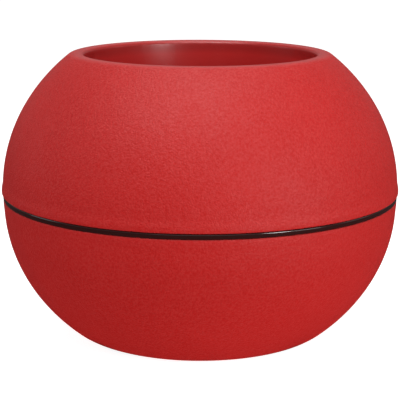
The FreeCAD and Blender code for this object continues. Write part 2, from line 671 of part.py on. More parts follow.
def gauge_tube():
    """Guide tube of the float, slotted below so that water gets in."""
    low = POT_FLOOR_Z + GAUGE_FOOT_CLEAR
    tube = ring(GAUGE_IN_R, GAUGE_OUT_R, low, GAUGE_TOP_Z, GAUGE_X)
    stop_r = GAUGE_OUT_R + GAUGE_STOP_WIDTH
    stop = ring(GAUGE_IN_R, stop_r, PLATE_TOP_Z + SEAT_CLEAR, PLATE_TOP_Z + STOP_THICK, GAUGE_X)
    slot_low = low + GAUGE_SLOT_START
    slot_high = slot_low + GAUGE_SLOT_TALL
    reach = 2 * (GAUGE_OUT_R + PAST)
    slots = slots_across(GAUGE_SLOT_WIDTH, reach, slot_low, slot_high, GAUGE_SLOT_PAIRS, GAUGE_X, 0)
    return fused([tube, stop]).cut(Part.makeCompound(slots))


def gauge_window():
    """Clear cap over the gauge, with a spigot that plugs into the guide tube."""
    spigot_low_z = GAUGE_TOP_Z - WINDOW_SPIGOT
    body = disc(GAUGE_OUT_R, GAUGE_TOP_Z + SEAT_CLEAR, WINDOW_TOP_Z, GAUGE_X)
    body = rounded_above(body, WINDOW_ROUND, WINDOW_TOP_Z - HAIR)
    spigot = disc(GAUGE_IN_R - WINDOW_SPIGOT_CLEAR, spigot_low_z, GAUGE_TOP_Z + ROOT, GAUGE_X)
    bore = disc(WINDOW_IN_R, spigot_low_z - PAST, WINDOW_TOP_Z - WINDOW_ROOF, GAUGE_X)
    return body.fuse(spigot).removeSplitter().cut(bore)


def gauge_float():
    """Foam float threaded on the foot of the rod."""
    low = POT_FLOOR_Z + FLOAT_FOOT_CLEAR
    return ring(ROD_R + ROD_PRESS, FLOAT_R, low, low + FLOAT_TALL, GAUGE_X)


def gauge_rod():
    """Thin rod that carries the float's height up to the window."""
    return disc(ROD_R, POT_FLOOR_Z + ROD_FOOT_CLEAR, TIP_LOW_Z, GAUGE_X)


def gauge_tip():
    """Red marker on top of the rod."""
    tip_high_z = TIP_LOW_Z + TIP_TALL
    return rounded_above(disc(TIP_R, TIP_LOW_Z, tip_high_z, GAUGE_X), TIP_ROUND, tip_high_z - HAIR)


def overflow_tube():
    """Standpipe that lets surplus water out of the reservoir."""
    return ring(OVERFLOW_IN_R, OVERFLOW_OUT_R, OVERFLOW_LOW_Z, OVERFLOW_TOP_Z)


def overflow_seal():
    """Rubber grommet between the standpipe and the floor of the inner pot."""
    in_r = OVERFLOW_OUT_R + SEAL_PRESS
    neck_r = SEAL_NECK_R - SEAL_PRESS
    low = POT_LOW_Z - SEAT_CLEAR
    high = POT_FLOOR_Z + SEAT_CLEAR
    return turned_outline(
        [
            (in_r, low - SEAL_LIP),
            (SEAL_FLANGE_R, low - SEAL_LIP),
            (SEAL_FLANGE_R, low),
            (neck_r, low),
            (neck_r, high),
            (SEAL_FLANGE_R, high),
            (SEAL_FLANGE_R - SEAL_LIP_BEVEL, high + SEAL_LIP),
            (in_r, high + SEAL_LIP),
        ]
    )


def main():
    """Writes one STEP file per node."""
    os.makedirs("parts", exist_ok=True)
    nodes = {
        "upper_shell": upper_shell(),
        "lower_shell": lower_shell(),
        "joint_band": joint_band(),
        "foot_pads": foot_pads(),
        "drain_plug": drain_plug(),
        "inner_pot": inner_pot(),
        "handle_front": handle(-1),
        "handle_back": handle(1),
        "separator_plate": separator_plate(),
        "wick_cups": wick_cups(),
        "fill_tube": fill_tube(),
        "fill_cap": fill_cap(),
        "fill_cap_pin": fill_cap_pin(),
        "gauge_tube": gauge_tube(),
        "gauge_window": gauge_window(),
        "gauge_float": gauge_float(),
        "gauge_rod": gauge_rod(),
        "gauge_tip": gauge_tip(),
        "overflow_tube": overflow_tube(),
        "overflow_seal": overflow_seal(),
    }
    for name, shape in nodes.items():
        shape.exportStep(f"parts/{name}.step")


main()
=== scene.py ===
import math

import bmesh
import bpy
from mathutils import Matrix, Vector, noise


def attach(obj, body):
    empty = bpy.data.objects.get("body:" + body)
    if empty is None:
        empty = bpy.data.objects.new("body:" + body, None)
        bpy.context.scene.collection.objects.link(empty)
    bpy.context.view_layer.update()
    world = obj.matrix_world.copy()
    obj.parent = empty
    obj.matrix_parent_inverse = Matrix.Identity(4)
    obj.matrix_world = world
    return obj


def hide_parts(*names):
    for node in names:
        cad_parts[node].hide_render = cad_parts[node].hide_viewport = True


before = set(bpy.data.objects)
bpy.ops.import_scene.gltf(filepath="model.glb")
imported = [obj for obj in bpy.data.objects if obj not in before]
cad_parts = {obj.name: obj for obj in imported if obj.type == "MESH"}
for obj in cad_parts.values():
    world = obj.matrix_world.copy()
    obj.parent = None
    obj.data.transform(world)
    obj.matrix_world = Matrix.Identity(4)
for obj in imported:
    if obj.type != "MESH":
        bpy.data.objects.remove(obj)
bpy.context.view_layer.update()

# Visual model of a ball-shaped planter: two red shells with a dark band in their joint, a pot that lifts
# out, and a watering set. Outlines are in millimetres and become metres when a mesh is made. Heights are
# measured from the floor. An ellipse is (greatest radius, half height, height of its centre).
MM = 0.001
QUARTER = math.pi / 2

# ---- Sizes of the object, in millimetres, as in the CAD ------------------------------------------
FOOT_Z = 2.0
JOINT_Z = 145.5
RIM_Z = 286.6
JOINT_GAP = 5.6
SLOT_LOW_Z = JOINT_Z - JOINT_GAP / 2
SLOT_HIGH_Z = JOINT_Z + JOINT_GAP / 2
WALL = 3.0
DOME = (200.0, 178.4, JOINT_Z + 5.3)
BOWL = (199.1, 173.8, JOINT_Z - 7.0)
FOOT_ROUND = 39.0
SLOT_EDGE_ROUND = 1.2
UPPER_SKIRT_PROUD = 1.1
LOWER_SKIRT_PROUD = 0.5
SKIRT_START = 15.0  # distance from the joint where the edge of a shell begins to swell
SKIRT_FULL = 6.0  # distance from the joint where it has swollen in full
LIP_OUTER_ROUND = 10.2
LIP_INNER_ROUND = 3.9
MOUTH_R = 116.6
MOUTH_LOW_R = 115.8
COLLAR_OUT_R = 118.8
LEDGE_Z = RIM_Z - 46.0
LEDGE_HOLE_R = 108.5
LEDGE_ROUND = 0.8
TONGUE_IN_R = 191.0
TONGUE_OUT_R = 193.6
TONGUE_RISE = 12.0  # above the joint
TONGUE_DEPTH = 12.0  # below the joint
SEAT_Z = JOINT_Z + TONGUE_RISE + 0.05
SEAT_IN_R = 187.6
RECESS_R = 62.0
RECESS_DEPTH = 1.0
DRAIN_R = 12.05
DRAIN_BOSS_R = 18.0
DRAIN_BOSS_HEIGHT = 4.0
DRAIN_BOSS_ROUND = 0.8

RIB_COUNT = 12
RIB_FIRST_TURN = 15.0
RIB_HALF_WIDTH = 1.0
RIB_IN_R = 118.5
RIB_BITE = 0.5  # how far a rib runs into the wall
HOOK_COUNT = 8
HOOK_FIRST_TURN = 22.5
HOOK_ARM_R = 189.0
HOOK_ARM_LOW_Z = JOINT_Z - 10.0
HOOK_ARM_HIGH_Z = SEAT_Z + 1.0
HOOK_ARM_SIZE = (2.8, 16.0, HOOK_ARM_HIGH_Z - HOOK_ARM_LOW_Z)
HOOK_BARB_R = 191.2
HOOK_BARB_Z = JOINT_Z - 7.0
HOOK_BARB_SIZE = (2.6, 16.0, 3.0)

BAND_IN_R = 193.8
BAND_FACE_R = 199.7
BAND_TOP_ROUND = 1.8
BAND_LOW_ROUND = 0.8
BAND_CLEAR = 0.1  # between the band and each side of the slot
BAND_BUTT_GAP = 0.6  # between the two ends of the band, at the back
PAD_COUNT = 4
PAD_R = 12.0
PAD_CIRCLE_R = 90.0
PAD_FIRST_TURN = 45.0
PAD_TOP_Z = 3.55
PAD_EDGE_ROUND = 0.7
PAD_GROOVE_DEPTH = 0.5
PAD_RING_STARTS = (2.0, 5.0, 8.0)
PAD_RING_WIDTH = 1.8
PAD_RING_SLOPE = 0.4
PAD_OUTER_RING = 10.2
PAD_CENTRE_R = 0.01

POT_LOW_Z = 13.0
POT_FLOOR_Z = 15.5
POT_LOW_R = 90.0
POT_HIGH_R = 107.0
POT_WALL = 2.2
POT_FOOT_ROUND = 8.0
FLANGE_R = 114.4
FLANGE_LOW_Z = LEDGE_Z + 0.05
FLANGE_HIGH_Z = FLANGE_LOW_Z + 2.5
BEAD_Z = 70.1  # underside of the bead that holds the separator plate down
BEAD_PROUD = 1.0
BEAD_FLAT = 0.5  # height of the upright part of the bead
BEAD_TOP = 2.0  # height at which the bead has run out into the wall
SEAL_NECK_R = 10.3

HANDLE_ARC_R = 110.0
HANDLE_HALF_ANGLE = math.radians(40.0)
HANDLE_ROD_R = 2.3
HANDLE_CORNER = 2.4  # length cut off the arm where it bends into the arc
HANDLE_CORNER_ANGLE = 0.02  # the same on the arc, in radians
GRIP_R = 3.2
GRIP_HALF_ANGLE = math.radians(16.0)
GRIP_BLEND_ANGLE = 0.03
GRIP_WAVE = 0.22  # depth of the finger waves
GRIP_WAVES = 2  # from the middle of the grip to its end
HANDLE_AXIS_Z = 246.65
HANDLE_AXIS_Y = 79.0
KNUCKLE_R = 3.2
KNUCKLE_LENGTH = 4.6
KNUCKLE_EDGE = 0.5
TRUNNION_R = 2.0
TRUNNION_EDGE = 0.35
LUG_BORE_R = 2.05
LUG_GAP = 0.3
LUG_WIDTH = 5.0
LUG_CHAMFER = 0.35
LUG_ROOT_Z = FLANGE_HIGH_Z - 1.0
ARM_X = HANDLE_ARC_R * math.sin(HANDLE_HALF_ANGLE)
ARM_Y = HANDLE_ARC_R * math.cos(HANDLE_HALF_ANGLE)
LUG_IN_X = ARM_X + KNUCKLE_LENGTH / 2 + LUG_GAP
LUG_OUT_X = LUG_IN_X + LUG_WIDTH

# ---- Fineness of the meshes ----------------------------------------------------------------------
BALL_SEGMENTS = 560
POT_SEGMENTS = 256
PAD_SEGMENTS = 64
ROD_SIDES = 40
HANDLE_SIDES = 28
HANDLE_STEPS = 180
LUG_STEPS = 40
RIB_STEPS = 10
LIP_STEPS = 10
FOOT_ROUND_STEPS = 12
FLOOR_ROUND_STEPS = 8
SLOT_ROUND_STEPS = 6
# Greatest distance between two points of an outline, in millimetres.
SHELL_STEP = 2.4
SLOT_STEP = 1.2
LIP_STEP = 1.5
COLLAR_STEP = 2.0
ROOF_STEP = 3.0
FOOT_STEP = 5.0
RECESS_STEP = 1.0
HIDDEN_STEP = 6.0
POT_STEP = 7.0
INNER_FLOOR_STEP = 8.0


# ---- Outlines ------------------------------------------------------------------------------------
def smooth_step(value):
    """0 below 0 and 1 above 1, with a soft rise between."""
    share = min(1.0, max(0.0, value))
    return share * share * (3 - 2 * share)


def on_ellipse(ellipse, t):
    """Point (radius, height) at angle t of an ellipse."""
    radius, half, centre_z = ellipse
    return Vector((radius * math.cos(t), centre_z + half * math.sin(t)))


def ellipse_normal(ellipse, t):
    """Outward direction at angle t of an ellipse."""
    radius, half, _ = ellipse
    return Vector((math.cos(t) / radius, math.sin(t) / half)).normalized()


def normal_angle(ellipse, t):
    """The outward direction at angle t, as an angle."""
    normal = ellipse_normal(ellipse, t)
    return math.atan2(normal.y, normal.x)


def inset(ellipse, depth):
    """The ellipse made smaller by depth all round."""
    return (ellipse[0] - depth, ellipse[1] - depth, ellipse[2])


def ellipse_angle(ellipse, z):
    """Angle at which the ellipse is at height z."""
    return math.asin((z - ellipse[2]) / ellipse[1])


def corner_round(ellipse, flat_z, rho):
    """Angle on the ellipse and centre of the round that touches it and a flat at flat_z from inside."""
    height = flat_z - ellipse[2]
    side = 1.0 if height > 0 else -1.0
    goal = flat_z - side * rho

    def centre(t):
        return on_ellipse(ellipse, t) - rho * ellipse_normal(ellipse, t)

    # A flat beside the middle may need an angle on its other side.
    low, high = (0.0, 1.5) if abs(height) > 20 else (-0.1, 0.3)
    inner, outer = side * low, side * high
    for _ in range(60):
        middle = (inner + outer) / 2
        if (centre(middle).y - goal) * side < 0:
            inner = middle
        else:
            outer = middle
    return inner, centre(inner)


def arc(centre, rho, start, end, steps):
    """Points along an arc, with both ends."""
    return [
        Vector((centre[0] + rho * math.cos(a), centre[1] + rho * math.sin(a)))
        for a in (start + (end - start) * k / steps for k in range(steps + 1))
    ]


def run(start, end, step):
    """Points from start to end, without the last one, no further apart than step."""
    start, end = Vector(start), Vector(end)
    count = max(1, math.ceil((end - start).length / step))
    return [start.lerp(end, k / count) for k in range(count)]


def ellipse_run(ellipse, start, end, step):
    """Points along the ellipse, without the last one, about step apart."""
    rough_length = abs(end - start) * (ellipse[0] + ellipse[1]) / 2
    count = max(2, math.ceil(rough_length / step))
    return [on_ellipse(ellipse, start + (end - start) * k / count) for k in range(count)]


def round_corners(points, radii, steps=4):
    """Open polyline with the corners rounded; radii holds one value per corner."""
    made = [Vector(points[0])]
    for before, here, after, rho in zip(points, points[1:], points[2:], radii):
        here = Vector(here)
        if rho <= 0:
            made.append(here)
            continue
        a = (Vector(before) - here).normalized()
        b = (Vector(after) - here).normalized()
        half = a.angle(b) / 2
        cut = rho / math.tan(half)
        middle = here + (a + b).normalized() * (rho / math.sin(half))
        first, last = here + a * cut, here + b * cut
        for k in range(steps + 1):
            spoke = (first - middle).slerp(last - middle, k / steps).normalized()
            made.append(middle + rho * spoke)
    made.append(Vector(points[-1]))
    return made


# ---- Mesh makers ---------------------------------------------------------------------------------
# Each *_data function returns (vertices in millimetres, faces).
def lathe_data(outline, segments, start=0.0, end=2 * math.pi, x=0.0, y=0.0):
    """Closed outline of (radius, height) turned about an upright axis at x, y."""
    whole = abs(end - start - 2 * math.pi) < 1e-6
    columns = segments if whole else segments + 1
    rows = len(outline)
    verts = []
    for c in range(columns):
        angle = start + (end - start) * c / segments
        ca, sa = math.cos(angle), math.sin(angle)
        verts.extend((x + p[0] * ca, y + p[0] * sa, p[1]) for p in outline)
    faces = []
    for c in range(segments):
        d = (c + 1) % columns
        for r in range(rows):
            s = (r + 1) % rows
            faces.append((c * rows + r, d * rows + r, d * rows + s, c * rows + s))
    if not whole:
        faces.append(tuple(range(rows - 1, -1, -1)))
        faces.append(tuple(range((columns - 1) * rows, columns * rows)))
    return verts, faces


def tube_data(path, radii, sides):
    """Round rod along a path of points, with a radius at each point."""
    path = [Vector(p) for p in path]
    verts, faces = [], []
    across = None
    for k, here in enumerate(path):
        ahead = path[min(k + 1, len(path) - 1)]
        behind = path[max(k - 1, 0)]
        tangent = (ahead - behind).normalized()
        if across is None:
            across = tangent.orthogonal().normalized()
        across = (across - tangent * across.dot(tangent)).normalized()
        other = tangent.cross(across)
        for s in range(sides):
            a = 2 * math.pi * s / sides
            verts.append(tuple(here + radii[k] * (math.cos(a) * across + math.sin(a) * other)))
    for k in range(len(path) - 1):
        for s in range(sides):
            t = (s + 1) % sides
            faces.append((k * sides + s, k * sides + t, (k + 1) * sides + t, (k + 1) * sides + s))
    last = (len(path) - 1) * sides
    faces.append(tuple(range(sides - 1, -1, -1)))
    faces.append(tuple(range(last, last + sides)))
    return verts, faces


def rod_data(start, end, radius, edge):
    """Straight round rod with ends rounded by edge."""
    start, end = Vector(start), Vector(end)
    along = (end - start).normalized()
    angles = [QUARTER * k / 4 for k in range(5)]
    path = [start + along * edge * (1 - math.cos(a)) for a in angles]
    path += [end - along * edge * (1 - math.cos(a)) for a in reversed(angles)]
    radii = [radius - edge * (1 - math.sin(a)) for a in angles]
    return tube_data(path, radii + radii[::-1], ROD_SIDES)


def box_data(size, centre, turn):
    """Box turned about the upright axis of the object."""
    sx, sy, sz = (s / 2 for s in size)
    rot = Matrix.Rotation(turn, 3, "Z")
    corners = []
    for z in (-sz, sz):
        for x, y in ((-sx, -sy), (sx, -sy), (sx, sy), (-sx, sy)):
            corners.append(tuple(rot @ Vector((centre[0] + x, centre[1] + y, centre[2] + z))))
    faces = [(0, 3, 2, 1), (4, 5, 6, 7), (0, 1, 5, 4), (1, 2, 6, 5), (2, 3, 7, 6), (3, 0, 4, 7)]
    return corners, faces


def join_data(parts):
    """All parts as one."""
    verts, faces = [], []
    for part_verts, part_faces in parts:
        base = len(verts)
        verts.extend(part_verts)
        faces.extend(tuple(base + i for i in f) for f in part_faces)
    return verts, faces


def smooth_by_angle(mesh, degrees):
    """Smooth shading, with edges sharper than the angle kept sharp."""
    mesh.polygons.foreach_set("use_smooth", [True] * len(mesh.polygons))
    mesh.set_sharp_from_angle(angle=math.radians(degrees))


def mesh_from(name, data, smooth):
    """Mesh in metres, with doubled points merged and its faces turned outward."""
    verts, faces = data
    mesh = bpy.data.meshes.new(name)
    mesh.from_pydata([(a * MM, b * MM, c * MM) for a, b, c in verts], [], faces)
    mesh.validate()
    bm = bmesh.new()
    bm.from_mesh(mesh)
    bmesh.ops.remove_doubles(bm, verts=bm.verts, dist=1e-7)
    bmesh.ops.recalc_face_normals(bm, faces=bm.faces)
    bm.to_mesh(mesh)
    bm.free()
    smooth_by_angle(mesh, smooth)
    return mesh


def add_piece(name, mesh, body, slot_name, node):
    """Put a mesh in the scene in place of a CAD node, on its body and with its material."""
    obj = bpy.data.objects.new(name, mesh)
    bpy.context.scene.collection.objects.link(obj)
    mesh.materials.append(MATERIALS[slot_name])
    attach(obj, body)
    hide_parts(node)


# ---- Material nodes ------------------------------------------------------------------------------
class Nodes:
    """Adds nodes to a new material and joins them. Textures use object space, in metres."""

    def __init__(self, name):
        self.material = bpy.data.materials.new(name)
        self.material.use_nodes = True
        self.tree = self.material.node_tree
        self.tree.nodes.clear()
        self.out = self.tree.nodes.new("ShaderNodeOutputMaterial")
        self.coords = self.add("ShaderNodeTexCoord").outputs["Object"]

    def add(self, kind, **settings):
        node = self.tree.nodes.new(kind)
        for key, value in settings.items():
            setattr(node, key, value)
        return node

    def link(self, a, b):
        self.tree.links.new(a, b)

    def put(self, socket, value):
        """Feed a socket from another socket, a number or a colour."""
        if isinstance(value, bpy.types.NodeSocket):
            self.link(value, socket)
        elif isinstance(value, tuple):
            socket.default_value = (*value, 1.0)
        else:
            socket.default_value = value

    def math(self, operation, a, b):
        node = self.add("ShaderNodeMath", operation=operation)
        self.put(node.inputs[0], a)
        self.put(node.inputs[1], b)
        return node.outputs[0]

    def times(self, a, b):
        return self.math("MULTIPLY", a, b)

    def plus(self, a, b):
        return self.math("ADD", a, b)

    def stretch(self, scale):
        """Object space stretched by a scale for each axis."""
        node = self.add("ShaderNodeMapping")
        self.link(self.coords, node.inputs["Vector"])
        node.inputs["Scale"].default_value = scale
        return node.outputs[0]

    def noise(self, scale, detail=2.0, rough=0.5, vector=None):
        node = self.add("ShaderNodeTexNoise")
        self.link(vector or self.coords, node.inputs["Vector"])
        node.inputs["Scale"].default_value = scale
        node.inputs["Detail"].default_value = detail
        node.inputs["Roughness"].default_value = rough
        return node.outputs["Fac"]

    def streaks(self, scale, detail=3.0, rough=0.6):
        """Noise drawn out along the axes where scale is small."""
        return self.noise(1.0, detail, rough, self.stretch(scale))

    def cells(self, scale, feature="SMOOTH_F1", smooth=0.4):
        node = self.add("ShaderNodeTexVoronoi", feature=feature)
        self.link(self.coords, node.inputs["Vector"])
        node.inputs["Scale"].default_value = scale
        if feature == "SMOOTH_F1":
            node.inputs["Smoothness"].default_value = smooth
        return node.outputs["Distance"]

    def ramp(self, value, low, high, out_low=0.0, out_high=1.0):
        """Map low..high to out_low..out_high, with the ends held."""
        node = self.add("ShaderNodeMapRange")
        self.put(node.inputs["Value"], value)
        node.inputs["From Min"].default_value = low
        node.inputs["From Max"].default_value = high
        node.inputs["To Min"].default_value = out_low
        node.inputs["To Max"].default_value = out_high
        return node.outputs["Result"]

    def mix(self, factor, a, b):
        """Colour a where factor is 0 and colour b where it is 1."""
        node = self.add("ShaderNodeMix", data_type="RGBA")
        self.put(node.inputs["Factor"], factor)
        self.put(node.inputs[6], a)
        self.put(node.inputs[7], b)
        return node.outputs[2]

    def height(self):
        node = self.add("ShaderNodeSeparateXYZ")
        self.link(self.coords, node.inputs[0])
        return node.outputs["Z"]

    def attribute(self, name):
        return self.add("ShaderNodeAttribute", attribute_name=name).outputs["Fac"]

    def worn_and_lit_edges(self, low, high, patch_scale):
        """1 on outward edges, broken up into patches; it marks wear, and on the red shell also painted
        highlight.
        """
        edge = self.ramp(self.add("ShaderNodeNewGeometry").outputs["Pointiness"], low, high)
        return self.times(edge, self.ramp(self.noise(patch_scale, 3.0), 0.35, 0.6))

    def bump(self, height, strength, distance):
        node = self.add("ShaderNodeBump")
        self.put(node.inputs["Strength"], strength)
        node.inputs["Distance"].default_value = distance
        self.put(node.inputs["Height"], height)
        return node.outputs["Normal"]

    def finish(self, color, roughness, normal, **more):
        """Material with one shader; more holds further inputs, with _ for a space."""
        shader = self.add("ShaderNodeBsdfPrincipled")
        self.put(shader.inputs["Base Color"], color)
        self.put(shader.inputs["Roughness"], roughness)
        self.link(normal, shader.inputs["Normal"])
        for key, value in more.items():
            self.put(shader.inputs[key.replace("_", " ")], value)
        self.link(shader.outputs[0], self.out.inputs["Surface"])
        return self.material


# ---- Materials -----------------------------------------------------------------------------------
RED = (0.436, 0.0135, 0.0125)
RED_DEEP = (0.398, 0.0098, 0.0090)
RED_SPECK = (0.470, 0.0270, 0.0250)
# Lighter red for outward edges: partly wear, partly painted highlight for the thin light lines along the
# rounded shell edges.
RED_WORN_AND_HIGHLIGHT = (0.60, 0.09, 0.08)
# Painted light on the smooth plastic: the collar inside the mouth is painted lighter and the top of the lip
# is painted darker, as painted shade; the two heights below set where one turns into the other.
LIP_PAINTED_SHADE = 0.86
COLLAR_PAINTED_LIGHT = 1.16
LIP_SHADE_LOW = RIM_Z * MM - 0.014
LIP_SHADE_HIGH = RIM_Z * MM - 0.008


def shade(color, factor):
    """The colour made lighter or darker."""
    return tuple(c * factor for c in color)


def grain_height(n, speck):
    """Relief of the leather grain: pebbles with creases between them, under finer noise."""
    pebble = n.ramp(n.cells(560.0, smooth=0.45), 0.0, 0.9, 1.0, 0.0)
    crease = n.ramp(n.cells(330.0, feature="DISTANCE_TO_EDGE"), 0.0, 0.16)
    height = n.times(pebble, 0.45)
    height = n.plus(height, n.times(crease, 0.12))
    height = n.plus(height, n.times(n.noise(760.0, 2.0, 0.7), 0.60))
    return n.plus(height, n.times(speck, 0.30))


def collar_height(n, drag):
    """Relief of the smooth plastic: drag lines and patches of small pimples."""
    pimples = n.ramp(n.cells(240.0, feature="F1"), 0.10, 0.24, 1.0, 0.0)
    pimples = n.times(pimples, n.ramp(n.noise(26.0, 2.0), 0.52, 0.70))
    return n.plus(n.times(drag, 0.08), n.times(pimples, 0.30))


def red_shell_material():
    """Moulded red plastic: leather grain where the attribute grain is 1, smooth where it is 0; the smooth
    collar is painted lighter and the lip top painted darker, and outward edges are lighter from wear and
    painted highlight.
    """
    n = Nodes("red_shell")
    grain = n.attribute("grain")
    smooth_part = n.math("SUBTRACT", 1.0, grain)

    def by_part(grained, smooth):
        return n.plus(n.times(grained, grain), n.times(smooth, smooth_part))

    speck = n.noise(430.0, 3.0, 0.75)
    drag = n.streaks((260.0, 260.0, 9.0))
    height = by_part(grain_height(n, speck), collar_height(n, drag))

    color = n.mix(n.ramp(n.noise(9.0, 4.0, 0.6), 0.3, 0.7), RED_DEEP, RED)
    # Painted light and shade: the smooth collar gets a lighter red and the lip top a darker red.
    lip = n.ramp(n.height(), LIP_SHADE_LOW, LIP_SHADE_HIGH)
    smooth_color = n.mix(lip, shade(RED, COLLAR_PAINTED_LIGHT), shade(RED, LIP_PAINTED_SHADE))
    color = n.mix(smooth_part, color, smooth_color)
    pits = n.times(n.ramp(speck, 0.38, 0.62), grain)
    color = n.mix(n.times(pits, 0.60), color, RED_SPECK)
    # Outward edges painted lighter: partly wear, partly painted highlight.
    color = n.mix(n.times(n.worn_and_lit_edges(0.56, 0.62, 60.0), 0.35), color, RED_WORN_AND_HIGHLIGHT)

    rough_out = n.ramp(n.noise(38.0, 3.0, 0.6), 0.3, 0.7, 0.47, 0.57)
    rough_in = n.ramp(drag, 0.3, 0.7, 0.285, 0.36)
    rough = by_part(rough_out, rough_in)
    gloss = by_part(n.ramp(speck, 0.38, 0.62, 0.20, 0.34), 0.62)
    return n.finish(color, rough, n.bump(height, 0.9, 0.00062), Specular_IOR_Level=gloss)


def band_material():
    """Glossy dark strip, slightly wavy, with specks of dust."""
    n = Nodes("black_band")
    ripple = n.streaks((45.0, 45.0, 240.0), 2.0, 0.5)
    dust = n.ramp(n.noise(700.0, 3.0, 0.7), 0.60, 0.72)
    # Near-black base with a red tinge: the tinge is painted reflection of the red shells beside the band.
    color = n.mix(n.times(dust, 0.35), (0.024, 0.0036, 0.0030), (0.060, 0.038, 0.034))
    rough = n.ramp(n.noise(120.0, 4.0, 0.7), 0.3, 0.7, 0.09, 0.17)
    return n.finish(color, rough, n.bump(ripple, 0.35, 0.0002), Specular_IOR_Level=0.7)


def plastic_material(name, low, high, worn, rough, grain=900.0, depth=0.00006, marks=(60.0, 900.0, 60.0)):
    """Moulded plastic with cloudy colour, mould grain, handling marks and worn edges."""
    n = Nodes(name)
    color = n.mix(n.ramp(n.noise(14.0, 5.0, 0.65), 0.3, 0.7), low, high)
    line = n.streaks(marks)
    color = n.mix(n.times(n.worn_and_lit_edges(0.52, 0.60, 180.0), 0.5), color, worn)
    rub = n.ramp(line, 0.35, 0.65, rough - 0.06, rough + 0.07)
    height = n.plus(n.noise(grain, 2.0, 0.6), n.times(line, 0.5))
    return n.finish(color, rub, n.bump(height, 0.5, depth), Specular_IOR_Level=0.5)


def rubber_material():
    """Dull black rubber with dust."""
    n = Nodes("black_rubber")
    cloud = n.ramp(n.noise(45.0, 4.0, 0.6), 0.3, 0.7)
    color = n.mix(cloud, (0.011, 0.011, 0.011), (0.026, 0.025, 0.024))
    dust = n.ramp(n.noise(420.0, 4.0, 0.7), 0.56, 0.74)
    color = n.mix(n.times(dust, 0.3), color, (0.16, 0.15, 0.14))
    return n.finish(color, n.ramp(cloud, 0.0, 1.0, 0.62, 0.8), n.bump(n.noise(800.0, 3.0), 0.5, 0.0001))


def steel_material():
    """Steel with fine marks from turning."""
    n = Nodes("pin_steel")
    turned = n.streaks((90.0, 2600.0, 90.0), 2.0, 0.5)
    color = n.mix(n.ramp(n.noise(300.0, 3.0), 0.3, 0.7), (0.44, 0.44, 0.45), (0.60, 0.60, 0.60))
    rough = n.ramp(turned, 0.3, 0.7, 0.2, 0.38)
    return n.finish(color, rough, n.bump(turned, 0.4, 0.00005), Metallic=1.0)


def clear_material():
    """Clear plastic with a little haze."""
    n = Nodes("clear_plastic")
    haze = n.noise(160.0, 4.0, 0.65)
    rough = n.ramp(haze, 0.35, 0.7, 0.03, 0.14)
    color = n.mix(haze, (0.93, 0.96, 0.97), (0.86, 0.90, 0.91))
    return n.finish(color, rough, n.bump(haze, 0.12, 0.0002), Transmission_Weight=1.0, IOR=1.49)


def foam_material():
    """Foam of small beads."""
    n = Nodes("float_foam")
    beads = n.cells(420.0, smooth=0.3)
    color = n.mix(n.ramp(beads, 0.1, 0.8), (0.82, 0.80, 0.74), (0.62, 0.60, 0.54))
    return n.finish(color, 0.85, n.bump(beads, 0.8, -0.0005))


PLASTICS = {
    "black_pot": {
        "low": (0.014, 0.014, 0.015),
        "high": (0.026, 0.026, 0.027),
        "worn": (0.10, 0.10, 0.10),
        "rough": 0.42,
        "grain": 700.0,
        "depth": 0.00012,
        "marks": (420.0, 420.0, 6.0),
    },
    "grey_plastic": {
        "low": (0.10, 0.104, 0.108),
        "high": (0.15, 0.154, 0.158),
        "worn": (0.30, 0.30, 0.31),
        "rough": 0.46,
        "grain": 800.0,
        "depth": 0.0001,
    },
    "handle_plastic": {
        "low": (0.022, 0.022, 0.024),
        "high": (0.040, 0.040, 0.042),
        "worn": (0.14, 0.14, 0.14),
        "rough": 0.36,
        "depth": 0.0001,
    },
    "cap_plastic": {
        "low": (0.36, 0.012, 0.012),
        "high": (0.44, 0.017, 0.016),
        "worn": (0.58, 0.10, 0.09),
        "rough": 0.30,
    },
    "rod_white": {
        "low": (0.66, 0.65, 0.62),
        "high": (0.76, 0.75, 0.72),
        "worn": (0.5, 0.48, 0.44),
        "rough": 0.35,
    },
    "tip_red": {
        "low": (0.60, 0.014, 0.010),
        "high": (0.72, 0.022, 0.015),
        "worn": (0.8, 0.2, 0.15),
        "rough": 0.25,
        "depth": 0.00005,
    },
}
MATERIALS = {
    "red_shell": red_shell_material(),
    "black_band": band_material(),
    "black_rubber": rubber_material(),
    "pin_steel": steel_material(),
    "clear_plastic": clear_material(),
    "float_foam": foam_material(),
}
MATERIALS.update({name: plastic_material(name, **look) for name, look in PLASTICS.items()})


# ---- Outer ball ----------------------------------------------------------------------------------
LIP_FLAT_R = MOUTH_R + LIP_INNER_ROUND
LIP_GRAIN = 0.35  # share of the grain that is left on the flat of the lip
GRAIN_FADE = 1.5  # how fast the grain fades across the lip
# Unevenness of the moulded skin: depths in millimetres, scales in waves per metre.
SLOW_DEPTH, SLOW_SCALE, SLOW_OFFSET = 0.10, 14.0, Vector((3.1, 0.7, 5.2))
MIDDLE_DEPTH, MIDDLE_SCALE, MIDDLE_OFFSET = 0.035, 46.0, Vector((1.3, 8.1, 2.2))
FOLD_DEPTH, FOLD_SCALE = 0.022, 210.0
SMOOTH_DEPTH = 0.03  # where there is no grain


def swollen(points, proud):
    """The outer points of a shell, moved out where its edge swells beside the joint."""
    made = []
    for p in points:
        share = (SKIRT_START - abs(p.y - JOINT_Z)) / (SKIRT_START - SKIRT_FULL)
        made.append(Vector((p.x + proud * smooth_step(share), p.y)))
    return made


def dome_skin(t_lip):
    """Points of the dome from the slot, round its edge and up to the lip at angle t_lip."""
    t_seam, seam_centre = corner_round(DOME, SLOT_HIGH_Z, SLOT_EDGE_ROUND)
    slot_in_r = DOME[0] - WALL
    points = run((slot_in_r, SLOT_HIGH_Z), (seam_centre.x, SLOT_HIGH_Z), SLOT_STEP)
    skin = arc(seam_centre, SLOT_EDGE_ROUND, -QUARTER, 0.0, SLOT_ROUND_STEPS)[:-1]
    skin += ellipse_run(DOME, t_seam, t_lip, SHELL_STEP)
    return points + swollen(skin, UPPER_SKIRT_PROUD)


